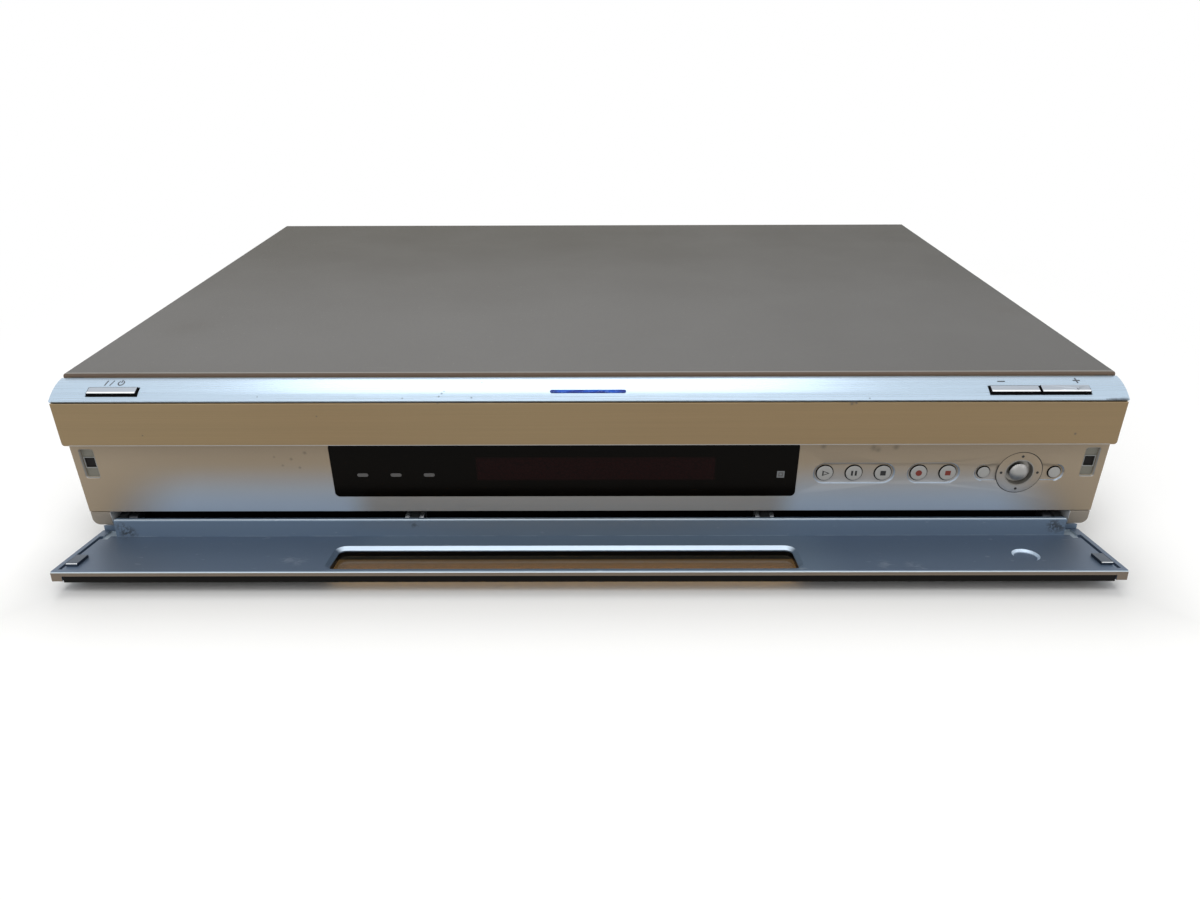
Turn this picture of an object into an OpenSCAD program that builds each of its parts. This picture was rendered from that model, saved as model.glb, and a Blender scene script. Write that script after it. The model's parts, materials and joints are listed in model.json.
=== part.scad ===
// Flat hard-disk video recorder with a drop-down front door, shown with the door open.
// +X is to the right, +Y to the back, +Z up, and the origin is on the floor below the middle.
// Front pieces are placed from the front edge, where the sloping strip meets the visor.

/* [Case] */
// Width across the front panel
front_w = 430; // [420:1:440]
// Depth from the front edge to the back of the cover
case_depth = 288; // [280:1:300]
// Rise from the front edge to the top of the cover
cover_rise = 7; // [6.6:0.1:8]
// Inset of each cover side from the front panel's end
cover_inset = 0.3; // [0.2:0.1:1.5]
// Sheet thickness of the cover
cover_t = 0.8; // [0.6:0.1:1]
// Height of the cover's front lip
lip_h = 1.8; // [1.5:0.1:2.2]
// Bend radius of the cover's long edges
cover_bend_r = 1.6; // [1.2:0.1:2.4]
// Sheet thickness of the bottom chassis and the rear panel
chassis_t = 1; // [0.8:0.1:1.2]
// Height of the chassis side walls
chassis_wall_h = 16; // [14:1:20]
// Height of the feet
foot_h = 8.1; // [7.5:0.1:12]
// Radius of the feet
foot_r = 15; // [12:0.5:18]
// Thickness of the foot pads
pad_t = 1.2; // [0.8:0.1:2]
// Reach of the aerial connectors behind the cover
jack_reach = 8; // [7:0.5:10]

/* [Front panel] */
// Height of the visor band
visor_h = 19.75; // [19:0.25:21]
// Height of the lower fascia
fascia_h = 33.45; // [33:0.05:35]
// Set-back of the lower fascia behind the visor's face
fascia_back = 4; // [3.8:0.1:4.4]
// Wall of the plastic front pieces
wall = 2; // [1.8:0.1:2.2]
// Run of the sloping top strip from front to back
strip_run = 12.4; // [11.8:0.1:12.8]
// Rise of the sloping top strip
strip_rise = 5.2; // [5:0.1:5.6]
// Thickness of the top strip
strip_t = 1.2; // [1:0.1:1.4]
// Radius of the strip's convex face
strip_r = 22; // [18:1:40]
// Distance from the front edge to the front frame's back wall
frame_depth = 17; // [16.8:0.1:20]
// Height of the corner blocks beside the door slot
corner_h = 6.2; // [5.8:0.1:7]
// Width of the corner blocks
corner_w = 8.5; // [8:0.1:9]

/* [Display] */
// Width of the display window
window_w = 195.4; // [180:0.2:197]
// Distance from the display window to the first transport key
window_x = 11.7; // [11:0.1:16]
// Height of the display window
window_h = 25.2; // [24:0.1:26]
// Width of the display tube
tube_w = 106; // [90:1:120]
// Height of the display tube
tube_h = 16; // [12:0.5:20]

/* [Keys] */
// Radius of the transport keys
key_r = 3.4; // [3.2:0.1:3.8]
// Pitch of the transport keys
key_pitch = 12.2; // [11.8:0.1:12.6]
// Distance from the last transport key to the first record key
key_x = 15; // [14:0.1:18]
// Distance from the last record key to the navigation stick
record_x = 29.8; // [28:0.1:33]
// Drop of the key row below the front edge
key_drop = 35.2; // [34:0.1:36]
// Radius of the menu keys
menu_r = 2.5; // [2.3:0.1:3.1]
// Press of each key
key_travel = 0.5; // [0.4:0.05:0.6]
// Width of the power key
power_w = 20; // [18:0.1:22]
// Width of each program key
program_w = 19.7; // [18:0.1:22]
// Length of the strip keys along the slope
strip_key_l = 4; // [3.6:0.1:5]
// Width of the blue light bar
light_w = 30.4; // [26:0.2:40]

/* [Navigation stick] */
// Distance of the navigation stick from the right end
stick_x = 34.5; // [33:0.1:38]
// Radius of the navigation stick's cap
cap_r = 3.95; // [3.6:0.05:4.1]
// Radius of the collar around the cap
collar_r = 6.1; // [5.9:0.1:6.6]
// Radius of the round field around the collar
field_r = 9.55; // [9.2:0.05:9.8]
// Tilt of the stick each way
stick_tilt = 7; // [4:0.5:7]

/* [Door] */
// Height of the door
door_h = 39.2; // [38.6:0.1:40]
// Thickness of the door at its ends
door_t = 4.2; // [4:0.1:4.6]
// Thickness of the door's inner panel
door_panel_t = 2; // [1.8:0.1:2.2]
// Thickness of the smoked plate on the door
plate_t = 2.7; // [2.4:0.1:2.8]
// Gap between the visor and the closed door
door_gap = 1.4; // [1:0.1:2]
// Angle between the closed and the open door
door_open = 83; // [70:1:84]
// Distance of the hinge axis behind the front edge
hinge_back = 9.3; // [9:0.1:9.6]
// Distance of the hinge axis below the fascia
hinge_below = 6.8; // [6.6:0.1:7.2]
// Radius of the hinge pins
pin_r = 1.2; // [1:0.05:1.4]
// Reach of the door's flange from its inner face
flange_reach = 7.9; // [7.4:0.1:8.2]
// Width of the window in the door
door_window_w = 190.7; // [180:0.1:200]
// Height of the window in the door
door_window_h = 17.8; // [16:0.1:19]
// Distance from the door's upper edge to its window
door_window_margin = 3.7; // [3.2:0.1:4.5]

/* [Hard disk] */
// Width of the disk drive
disk_w = 101.6; // [98:0.1:104]
// Length of the disk drive
disk_l = 147; // [140:0.5:150]
// Height of the disk drive
disk_h = 26; // [24:0.1:28]
// Radius of the platters
platter_r = 47.5; // [44:0.1:48]

/* [Fan] */
// Side of the fan frame
fan_side = 40; // [36:0.5:42]
// Depth of the fan frame
fan_depth = 10; // [9:0.1:12]

/* [Hidden] */
$fn = 48;

// Clearances
seam = 0.4;
fit_gap = 0.3;
slip = 0.05;
press = 0.02;
over = 1;

// Places across the front
half_w = front_w / 2;
cover_half = half_w - cover_inset;
frame_half = cover_half - cover_t - seam;
chassis_half = cover_half - cover_t - 0.6;
side_wall = half_w - cover_half + 0.6;

// Places along the key row, from the right end to the left
stick_at = half_w - stick_x;
record_at = stick_at - record_x - key_pitch;
stop_at = record_at - key_x;
play_at = stop_at - 2 * key_pitch;
window_right = play_at - window_x;
window_left = window_right - window_w;
window_mid = (window_left + window_right) / 2;

// Heights below the front edge
fascia_bottom = -visor_h - fascia_h;
corner_top = fascia_bottom - 0.5;
corner_bottom = corner_top - corner_h;
floor_top = corner_bottom - 1.3;
floor_under = floor_top - chassis_t;
cover_under = cover_rise - cover_t;
lip_bottom = cover_rise - lip_h;

// Depths behind the front edge
fascia_inner = fascia_back + wall;
cover_front = strip_run + 0.8;
frame_back = frame_depth + wall;
board_y = frame_depth - 4.6;
board_t = 1.6;
board_posts = [-half_w + 35, -120, 0, 90, 150, half_w - 25];
switch_h = 3;
key_sink = 0.1;
key_gap = 0.4;
key_recess = 0.8;
key_margin = 1.1;
plunger_h = 0.8;
rear_y = case_depth - 1;
panel_inner = rear_y - chassis_t;

// Top strip: a ring segment whose chord runs from the front edge to the strip's back edge
strip_l = norm([strip_run, strip_rise]);
slope = atan2(strip_rise, strip_run);
strip_sag = sqrt(strip_r * strip_r - strip_l * strip_l / 4);
strip_centre = [strip_run / 2 + strip_sag * sin(slope), strip_rise / 2 - strip_sag * cos(slope)];
strip_board_drop = 7;
strip_key_from = 2.5;
strip_bulge = strip_r - strip_sag;
strip_key_proud = strip_bulge + 0.8;
strip_switch_at = 5.4;
dot_root = 0.6;
power_inset = 24.5;
program_inset = 34.6;
power_x = -half_w + power_inset;
program_x = half_w - program_inset;
light_at = 4.3;
light_l = 1.5;

// Door, in its closed place
hinge_z = fascia_bottom - hinge_below;
door_top = -visor_h - door_gap;
door_bottom = door_top - door_h;
door_in = fascia_back - seam;
door_out = door_in - door_t;
plate_in = door_in - door_panel_t;
plate_out = plate_in - plate_t;
plate_half = half_w - 4.5;
pane_t = 0.6;
plate_bottom = door_bottom + 4.4;
flange_top = fascia_bottom - fit_gap;
flange_t = 2;
flange_half = half_w - corner_w - 1;
flange_tip = door_in + flange_reach;
arm_w = 3.8;
arm_r = 3;
ear_t = 1.8;
ear_r = 2.6;
ear_back = frame_depth - 0.5;
outer_arm = flange_half - 2.2;
outer_ear_t = 3.8;
middle_arm = 76.3;
arm_places = [-outer_arm, -middle_arm, middle_arm, outer_arm];
lip_drop = 1.5;
lip_reach = 2.2;
catch_x = half_w - 6.1;
catch_z = -visor_h - 10.15;
catch_slot_w = 4.3;
catch_slot_h = 4.6;
catch_d = 7;
catch_back = 0.8;
recess_d = 1.2;
strike_w = 4.7;
strike_l = 8.2;
strike_t = 1.3;

// Navigation stick
stick_z = -key_drop + 0.2;
stick_pivot = board_y - 1.8;
cap_tip = fascia_back - 1.5;
cap_rim = fascia_back + 0.3;
stick_pin_r = 0.6;
gimbal_half = 4.2;
gimbal_hole = 2.8;
gimbal_t = 1.6;
menu_offset = 14.8;
sleeve_r = 2;
dish_d = 2.2;
dish_taper = 0.5;
collar_rim = 0.4;
collar_floor = 0.8;

// Open door's reach, which centres the whole part front to back
function open_y(y, z) = hinge_back + (y - hinge_back) * cos(door_open) - (z - hinge_z) * sin(door_open);
front_reach = -min(open_y(door_out, door_top), open_y(plate_out, door_top));
nose_y = (front_reach - case_depth - jack_reach) / 2;
nose_z = pad_t + foot_h - floor_under;

// Insides
standoff_h = 8;
power_left = -chassis_half + 8;
power_right = power_left + 98;
power_front = rear_y - 92;
disk_x = power_right + 4 + disk_w / 2;
main_left = disk_x + disk_w / 2 + 8.2;
main_right = half_w - 10;
main_front = 62;
main_back = panel_inner - 1;
main_top = floor_top + standoff_h + board_t;
disk_front = 38;
disk_plate_t = 1.2;
disk_leg_h = 6;
disk_floor = floor_top + disk_leg_h + disk_plate_t;
disk_lid_t = 1;
disk_wall = 2.2;
disk_deck = disk_floor + 6;
spindle_y = disk_front + platter_r + disk_wall + 0.8;
spindle_r = 4;
platter_t = 1.3;
platter_gap = 3;
actuator_y = disk_front + disk_l - 24;
actuator_x = disk_x + disk_w / 2 - 24;
actuator_post_r = 3;
cable_y = disk_front + disk_l + 3;
connector_h = 6;
ribbon_left = main_left + 51;
ribbon_right = ribbon_left + 20;
ribbon_z = -36;
fan_x = power_right + 34.6;
fan_z = floor_top + 30;
fan_post_r = 1.5;
inlet_x = power_left + 30;
inlet_z = floor_top + 22;
aerial_r = 4.7625;
aerial_nut_t = 1.5;
aerial_places = [main_right - 50, main_right - 20];
tuner_half = 11;
aerial_z = main_top + 8;
jack_left = main_left + 25;
jack_pitch = 15;
jack_places = [for (i = [0:4]) jack_left + jack_pitch * i];
jack_rows = [main_top + 7, main_top + 21];
jack_r = 4.15;
port_x = main_left + 9.5;
foot_x = half_w - 50;
foot_places = [for (x = [-foot_x, foot_x]) for (y = [42, case_depth - 43]) [x, y]];
cover_screw_places = [40, case_depth - 38];
cover_screw_z = floor_top + 9;
rear_screw_x = chassis_half - 12.6;
rear_screw_places = [-rear_screw_x, power_right - 10, fan_x + 36, jack_left + 80, rear_screw_x];
rear_screw_z = cover_under - 6;
screw_r = 1.5;
screw_head_r = 3.2;
head_sink = 0.6 * cover_t;
vent_from = case_depth - 113;
vent_pitch = 5;
vent_count = 12;
vent_w = 2;
vent_h = 18;
vent_z = floor_top + 30;

// A box between two opposite corners
module block(low, high) {
    translate(low) cube(high - low);
}

// A flat outline in X and Z, extruded from front to back
module along_y(from, to) {
    translate([0, to, 0]) rotate([90, 0, 0]) linear_extrude(to - from) children();
}

// A flat outline in Y and Z, extruded from left to right
module along_x(from, to) {
    translate([from, 0, 0]) rotate([90, 0, 90]) linear_extrude(to - from) children();
}

// A rectangle with round corners, from its lower left to its upper right corner
module round_rect(low, high, r) {
    translate([low.x + r, low.y]) square([high.x - low.x - 2 * r, high.y - low.y]);
    translate([low.x, low.y + r]) square([high.x - low.x, high.y - low.y - 2 * r]);
    for (x = [low.x + r, high.x - r])
        for (y = [low.y + r, high.y - r])
            translate([x, y]) circle(r);
}

// A flat pill between two round ends
module pill(from, to, z, r) {
    translate([from, z - r]) square([to - from, 2 * r]);
    for (x = [from, to])
        translate([x, z]) circle(r);
}

// A round rod along Y
module rod_y(x, z, r, from, to) {
    translate([x, to, z]) rotate([90, 0, 0]) cylinder(r = r, h = to - from);
}

// A round rod along X
module rod_x(y, z, r, from, to) {
    translate([from, y, z]) rotate([0, 90, 0]) cylinder(r = r, h = to - from);
}

// Places a piece that is drawn from the front edge
module front() {
    translate([0, nose_y, nose_z]) children();
}

// Lays a piece on the slope of the top strip: Y runs up the slope and Z out of it
module on_slope() {
    front() rotate([slope, 0, 0]) children();
}

// Turns a piece that is drawn on the closed door to the open door
module open_door() {
    front() translate([0, hinge_back, hinge_z]) rotate([door_open, 0, 0])
        translate([0, -hinge_back, -hinge_z]) children();
}

// Both sides of a mirrored piece
module both_sides() {
    children();
    mirror([1, 0, 0]) children();
}

// Case

module chassis_standoff(x, y, h) {
    translate([x, y, floor_top]) cylinder(r = 3, h = h);
}

module bottom_chassis() {
    color("silver") front() difference() {
        union() {
            block([-chassis_half, frame_depth - 3, floor_under], [chassis_half, panel_inner, floor_top]);
            both_sides()
                block([chassis_half - chassis_t, frame_back + seam, floor_top],
                    [chassis_half, panel_inner, floor_top + chassis_wall_h]);
            for (x = [main_left + 8, (main_left + main_right) / 2, main_right - 8])
                for (y = [main_front + 8, main_back - 40])
                    chassis_standoff(x, y, standoff_h);
            for (x = [power_left + 8, power_right - 8])
                for (y = [power_front + 8, main_back - 12])
                    chassis_standoff(x, y, standoff_h);
        }
        for (y = cover_screw_places)
            rod_x(y, cover_screw_z, screw_r + press, -half_w, half_w);
    }
}

module cover_outline(half, top, r) {
    translate([-half, floor_top]) square([2 * half, top - r - floor_top]);
    translate([-half + r, top - r]) square([2 * (half - r), r]);
    for (x = [-half + r, half - r])
        translate([x, top - r]) circle(r);
}

module top_cover() {
    color("gray") front() difference() {
        union() {
            along_y(cover_front, case_depth) difference() {
                cover_outline(cover_half, cover_rise, cover_bend_r);
                translate([0, -over])
                    cover_outline(cover_half - cover_t, cover_under + over, cover_bend_r - cover_t);
                translate([-cover_half, floor_top - 2 * over]) square([2 * cover_half, over]);
            }
            along_y(cover_front, cover_front + cover_t) intersection() {
                cover_outline(cover_half - cover_t / 2, cover_rise - cover_t / 2, cover_bend_r - cover_t / 2);
                translate([-cover_half, lip_bottom]) square([2 * cover_half, lip_h]);
            }
        }
        for (y = cover_screw_places)
            rod_x(y, cover_screw_z, screw_r + fit_gap, -half_w, half_w);
        both_sides() for (y = cover_screw_places)
            rod_x(y, cover_screw_z, screw_head_r + fit_gap, cover_half - head_sink, half_w);
        for (i = [0:vent_count - 1])
            along_x(-half_w, half_w) translate([vent_from + vent_pitch * i, vent_z])
                round_rect([0, 0], [vent_w, vent_h], vent_w * 0.45);
    }
}

module rear_panel() {
    color("dimgray") front() difference() {
        block([-chassis_half, panel_inner, floor_top], [chassis_half, rear_y, cover_under - seam]);
        for (i = [-4:4])
            let (reach = sqrt(pow(fan_side / 2 - 2, 2) - pow(4 * i, 2)))
                along_y(panel_inner - over, rear_y + over)
                    pill(fan_x - reach, fan_x + reach, fan_z + 4 * i, 1.2);
        along_y(panel_inner - over, rear_y + over) {
            round_rect([inlet_x - 12, inlet_z - 7], [inlet_x + 12, inlet_z + 7], 2);
            round_rect([port_x - 8, main_top], [port_x + 8, main_top + 6.4], 0.8);
        }
        for (x = aerial_places)
            rod_y(x, aerial_z, aerial_r + fit_gap, panel_inner - over, rear_y + over);
        for (x = jack_places)
            for (z = jack_rows)
                rod_y(x, z, jack_r + fit_gap, panel_inner - over, rear_y + over);
        for (x = rear_screw_places)
            rod_y(x, rear_screw_z, screw_r + press, panel_inner - over, rear_y + over);
    }
}

module feet() {
    color("black") front() for (p = foot_places)
        translate([p.x, p.y, floor_under - foot_h])
            cylinder(r1 = foot_r - 1, r2 = foot_r, h = foot_h);
}

module foot_pads() {
    color("darkslategray") front() for (p = foot_places)
        translate([p.x, p.y, floor_under - foot_h - pad_t]) cylinder(r = foot_r - 4, h = pad_t);
}

module cover_screws() {
    color("dimgray") front() both_sides() for (y = cover_screw_places) {
        rod_x(y, cover_screw_z, screw_head_r, cover_half - head_sink, half_w);
        rod_x(y, cover_screw_z, screw_r, chassis_half - chassis_t - 3, cover_half - head_sink);
    }
}

module rear_screws() {
    color("dimgray") front() for (x = rear_screw_places) {
        rod_y(x, rear_screw_z, screw_head_r, rear_y, rear_y + 1.2);
        rod_y(x, rear_screw_z, screw_r, panel_inner - 5, rear_y);
    }
}

// Front panel

module front_frame() {
    color("darkgray") front() difference() {
        union() {
            block([-frame_half, frame_depth, floor_top + 1.2], [frame_half, frame_back, lip_bottom - 0.1]);
            block([-frame_half, strip_run + 0.5, lip_bottom - 1.6],
                [frame_half, frame_depth, lip_bottom - 0.1]);
            both_sides() {
                block([frame_half - 1, fascia_inner + wall + fit_gap, fascia_bottom],
                    [frame_half, frame_depth, -strip_board_drop]);
                along_y(fascia_back, cover_front - 0.2) corner_outline(half_w);
                along_y(cover_front - 0.2, frame_depth) corner_outline(frame_half);
            }
            for (x = board_posts)
                rod_y(x, fascia_bottom + 7.4, 2.6, board_y + board_t, frame_depth);
        }
        block([ribbon_left - 6, frame_depth - over, ribbon_z - 6],
            [ribbon_right + 6, frame_back + over, ribbon_z + 6]);
    }
}

// A corner block's outline, round at its lower outer corner
module corner_outline(side) {
    r = 3;
    left = half_w - corner_w;
    translate([left, corner_bottom]) square([side - left - r, corner_h]);
    translate([left, corner_bottom + r]) square([side - left, corner_h - r]);
    translate([side - r, corner_bottom + r]) circle(r);
}

// The space under the top strip, seen from the side
module under_strip(depth) {
    intersection() {
        translate([0, -visor_h]) square([depth, visor_h + strip_rise]);
        translate(strip_centre) circle(strip_r - strip_t - seam, $fn = 120);
    }
}

module visor_panel() {
    r = 1.2;
    color("tan") front() intersection() {
        union() {
            along_x(-half_w, half_w) under_strip(wall);
            both_sides() along_x(half_w - side_wall, half_w) under_strip(cover_front - 0.2);
            block([-half_w, 0, -visor_h], [half_w, fascia_inner + wall, -visor_h + 1.5]);
            block([-half_w, 0, -2 * strip_t], [half_w, 0.5, 0.2 - strip_t]);
        }
        along_y(-over, frame_depth) {
            round_rect([-half_w, -visor_h], [half_w, visor_h], r);
        }
    }
}

// The strip's cross-section, a segment of a ring
module strip_profile() {
    reach = 2 * strip_r;
    intersection() {
        translate(strip_centre) difference() {
            circle(strip_r, $fn = 120);
            circle(strip_r - strip_t, $fn = 120);
        }
        polygon([
            strip_centre,
            strip_centre + reach * (-strip_centre),
            strip_centre + reach * ([strip_run, strip_rise] - strip_centre)
        ]);
    }
}

module strip_key_slot(x, w) {
    block([x - w / 2 - seam, strip_key_from - seam, -4],
        [x + w / 2 + seam, strip_key_from + strip_key_l + seam, 4]);
}

module top_strip() {
    color("lightsteelblue") union() {
        difference() {
            front() along_x(-half_w, half_w) strip_profile();
            on_slope() {
                strip_key_slot(power_x, power_w);
                strip_key_slot(program_x, 2 * program_w + seam);
                translate([0, 0, -4]) linear_extrude(8)
                    light_outline(slip);
            }
        }
        on_slope() for (x = [-150, -60, 60, 130])
            translate([x, light_at, -strip_board_drop])
                cylinder(r = 1.8, h = strip_board_drop + strip_bulge - strip_t / 2);
    }
}

module light_outline(grow) {
    reach = (light_w - light_l) / 2;
    pill(-reach, reach, light_at, light_l / 2 + grow);
}

module blue_light_bar() {
    color("mediumblue") on_slope() translate([0, 0, -strip_board_drop])
        linear_extrude(strip_board_drop + strip_bulge + 0.1) light_outline(0);
}

module strip_board() {
    color("darkgreen") on_slope()
        block([-half_w + 9, 2.4, -strip_board_drop - board_t], [half_w - 9, 9, -strip_board_drop]);
}

module window_outline(grow) {
    top = -visor_h - 1.15;
    r = 2;
    round_rect([window_mid - window_w / 2 - grow, top - window_h - grow],
        [window_mid + window_w / 2 + grow, top + grow], r + grow);
}

// The round field of the navigation stick and the shallow recesses around the keys
module key_recesses() {
    pill(play_at, stop_at, -key_drop, key_r + key_margin);
    pill(record_at, record_at + key_pitch, -key_drop, key_r + key_margin);
    difference() {
        pill(stick_at - menu_offset, stick_at + menu_offset, stick_z, menu_r + key_margin);
        translate([stick_at, stick_z]) circle(field_r);
    }
}

// Each round key's place and radius
round_keys = [
    [play_at, -key_drop, key_r],
    [play_at + key_pitch, -key_drop, key_r],
    [stop_at, -key_drop, key_r],
    [record_at, -key_drop, key_r],
    [record_at + key_pitch, -key_drop, key_r],
    [stick_at - menu_offset, stick_z, menu_r],
    [stick_at + menu_offset, stick_z, menu_r]
];

module lower_fascia() {
    color("lightslategray") front() difference() {
        union() {
            along_y(fascia_back, fascia_inner)
                translate([-half_w, fascia_bottom]) square([front_w, fascia_h]);
            both_sides()
                block([half_w - side_wall, fascia_back, fascia_bottom],
                    [half_w, cover_front - 0.2, -visor_h]);
        }
        along_y(fascia_back - over, fascia_inner + over) {
            window_outline(slip);
            for (k = round_keys)
                translate([k.x, k.y]) circle(k.z + key_gap);
            translate([stick_at, stick_z]) circle(collar_r + slip);
        }
        along_y(fascia_back - over, fascia_back + key_recess) key_recesses();
        along_y(fascia_back - over, fascia_back + 0.3) translate([stick_at, stick_z]) difference() {
            circle(field_r + 0.2);
            circle(field_r - 0.2);
        }
        both_sides() {
            along_y(fascia_back - over, fascia_back + recess_d)
                round_rect([catch_x - 2.65, catch_z - 6.6], [catch_x + 2.65, catch_z + 6.2], 0.6);
            along_y(fascia_back - over, fascia_inner + over)
                translate([catch_x - catch_slot_w / 2, catch_z - catch_slot_h / 2])
                    square([catch_slot_w, catch_slot_h]);
        }
    }
}

lens_places = [for (i = [0:2]) window_left + 12.8 + 14 * i];
receiver_at = window_right - 6.8;

module display_window() {
    color("black") front() difference() {
        union() {
            along_y(fascia_back + 0.15, fascia_inner) window_outline(0);
            along_y(fascia_inner, fascia_inner + 1.2) window_outline(1.1);
        }
        along_y(fascia_back - over, fascia_back + 0.9) lens_outlines(slip);
    }
}

// Indicator pills at the window's left and a square receiver at its right
module lens_outlines(grow) {
    for (x = lens_places)
        pill(x - 1.5, x + 1.5, -key_drop - 0.5, 0.8 + grow);
    translate([receiver_at - 1.6 - grow, -key_drop - 2.1 - grow]) square(3.2 + 2 * grow);
}

module led_lenses() {
    color("maroon") front() along_y(fascia_back + 0.15, fascia_back + 0.9) lens_outlines(0);
}

module display_tube() {
    tube_mid = -visor_h - 13;
    color("darkslateblue") front()
        block([window_mid + 13 - tube_w / 2, fascia_inner + 1.4, tube_mid - tube_h / 2],
            [window_mid + 13 + tube_w / 2, board_y, tube_mid + tube_h / 2]);
}

module display_board() {
    color("darkgreen") front()
        block([-half_w + 12, board_y, fascia_bottom + 2.2],
            [half_w - 12, board_y + board_t, -visor_h - 2.75]);
}

module tact_switch() {
    translate([-3, -3, 0]) cube([6, 6, switch_h]);
    translate([0, 0, switch_h]) cylinder(r = 1.6, h = plunger_h);
}

module tact_switches() {
    color("dimgray") {
        front() for (k = round_keys)
            translate([k.x, board_y, k.y]) rotate([90, 0, 0]) tact_switch();
        on_slope() for (x = [power_x, program_x - program_w / 2, program_x + program_w / 2])
            translate([x, strip_switch_at, -strip_board_drop]) tact_switch();
    }
}

module catch_housings() {
    color("dimgray") front() both_sides() difference() {
        along_y(fascia_inner, fascia_inner + catch_d)
            translate([catch_x - 2.75, catch_z - 5]) square([5.5, 10]);
        along_y(fascia_inner - over, fascia_inner + catch_d - catch_back)
            translate([catch_x - catch_slot_w / 2, catch_z - catch_slot_h / 2])
                square([catch_slot_w, catch_slot_h]);
    }
}

module catch_magnets() {
    front_y = fascia_back + recess_d + fit_gap;
    color("black") front() both_sides() along_y(front_y, fascia_inner + catch_d - catch_back)
        translate([catch_x - catch_slot_w / 2 + slip, catch_z - catch_slot_h / 2 + slip])
            square([catch_slot_w - 2 * slip, catch_slot_h - 2 * slip]);
}

// Keys

module round_key(k) {
    front_y = fascia_back + key_sink;
    stem_end = board_y - switch_h - plunger_h - key_travel - 0.1;
    front() {
        rod_y(k.x, k.y, k.z, front_y, fascia_inner + 0.5);
        rod_y(k.x, k.y, k.z + 0.8, fascia_inner + 0.15, fascia_inner + 0.8);
        rod_y(k.x, k.y, 1.2, fascia_inner, stem_end);
    }
}

module strip_key(x, w) {
    stem_end = -strip_board_drop + switch_h + plunger_h + key_travel + 0.1;
    key_to = strip_key_from + strip_key_l;
    on_slope() {
        block([x - w / 2, strip_key_from, -1.6], [x + w / 2, key_to, strip_key_proud]);
        block([x - w / 2 - seam / 3, strip_key_from, -1.9], [x + w / 2 + seam / 3, key_to + 0.9, -1.25]);
        translate([x, strip_switch_at, stem_end]) cylinder(r = 1.2, h = -1.6 - stem_end);
    }
}

module power_key() {
    color("lightsteelblue") strip_key(power_x, power_w);
}

module program_minus_key() {
    color("lightsteelblue") strip_key(program_x - program_w / 2 - seam / 2, program_w);
}

module program_plus_key() {
    x = program_x + program_w / 2 + seam / 2;
    color("lightsteelblue") {
        strip_key(x, program_w);
        on_slope()
            translate([x + program_w / 4, strip_key_from + strip_key_l / 2, strip_key_proud - dot_root])
                cylinder(r = 0.5, h = dot_root + 0.3);
    }
}

module play_key() {
    color("silver") round_key(round_keys[0]);
}

module pause_key() {
    color("silver") round_key(round_keys[1]);
}

module stop_key() {
    color("silver") round_key(round_keys[2]);
}

module record_key() {
    color("silver") round_key(round_keys[3]);
}

module record_stop_key() {
    color("silver") round_key(round_keys[4]);
}

module return_key() {
    color("silver") round_key(round_keys[5]);
}

module menu_key() {
    color("silver") round_key(round_keys[6]);
}

// Navigation stick

module at_stick() {
    front() translate([stick_at, stick_pivot, stick_z]) children();
}

module stick_collar() {
    dish_r = collar_r - collar_rim;
    hole_r = sleeve_r + 0.5 + (stick_pivot - fascia_back - dish_d) * sin(1.5 * stick_tilt);
    color("dimgray") front() translate([stick_at, fascia_back, stick_z]) rotate([-90, 0, 0]) difference() {
        cylinder(r = collar_r, h = dish_d + collar_floor);
        cylinder(r = hole_r, h = dish_d + collar_floor + over);
        translate([0, 0, -0.01]) cylinder(r1 = dish_r, r2 = dish_r - dish_taper, h = dish_d);
    }
}

module stick_base() {
    side = 6.5;
    hole = gimbal_half + 0.4;
    color("dimgray") at_stick() difference() {
        block([-side, -2.4, -side], [side, board_y - stick_pivot, side]);
        block([-hole, -2.4 - over, -hole], [hole, board_y - stick_pivot + over, hole]);
        rod_x(0, 0, stick_pin_r + slip, -side - over, side + over);
    }
}

module stick_gimbal() {
    pin_reach = 5.8;
    color("silver") at_stick() difference() {
        union() {
            block([-gimbal_half, -gimbal_t / 2, -gimbal_half], [gimbal_half, gimbal_t / 2, gimbal_half]);
            rod_x(0, 0, stick_pin_r, -pin_reach, pin_reach);
        }
        block([-gimbal_hole, -over, -gimbal_hole], [gimbal_hole, over, gimbal_hole]);
        translate([0, 0, -gimbal_half - over])
            cylinder(r = stick_pin_r + slip, h = 2 * (gimbal_half + over));
    }
}

module stick_stem() {
    color("gainsboro") at_stick() {
        rod_y(0, 0, 1, cap_rim + 1.2 - stick_pivot, 1.2);
        rod_y(0, 0, 1.5, -0.8, 0.8);
        translate([0, 0, -gimbal_half + 0.4]) cylinder(r = stick_pin_r, h = 2 * (gimbal_half - 0.4));
    }
}

module stick_cap() {
    dome_h = cap_rim - cap_tip;
    dome_r = (cap_r * cap_r + dome_h * dome_h) / (2 * dome_h);
    sleeve_end = stick_pivot - 2.2;
    color("silver") front() translate([stick_at, 0, stick_z]) difference() {
        union() {
            intersection() {
                translate([0, cap_tip + dome_r, 0]) sphere(dome_r);
                rod_y(0, 0, cap_r + over, cap_tip - over, cap_rim);
            }
            rod_y(0, 0, sleeve_r, cap_rim - 0.3, sleeve_end);
        }
        rod_y(0, 0, 1 + slip, cap_rim + 1.2 - key_travel - 0.1, sleeve_end + over);
    }
}

// Door and hinges

module door_arm(x) {
    reach = 4.5;
    block([x - arm_w / 2, flange_tip - reach, hinge_z],
        [x + arm_w / 2, flange_tip, flange_top - flange_t / 2]);
    rod_x(hinge_back, hinge_z, arm_r, x - arm_w / 2, x + arm_w / 2);
}

// Outline of the door's window
window_low = [window_mid - door_window_w / 2 + 0.35, door_top - door_window_margin - door_window_h];
window_high = window_low + [door_window_w, door_window_h];

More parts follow.
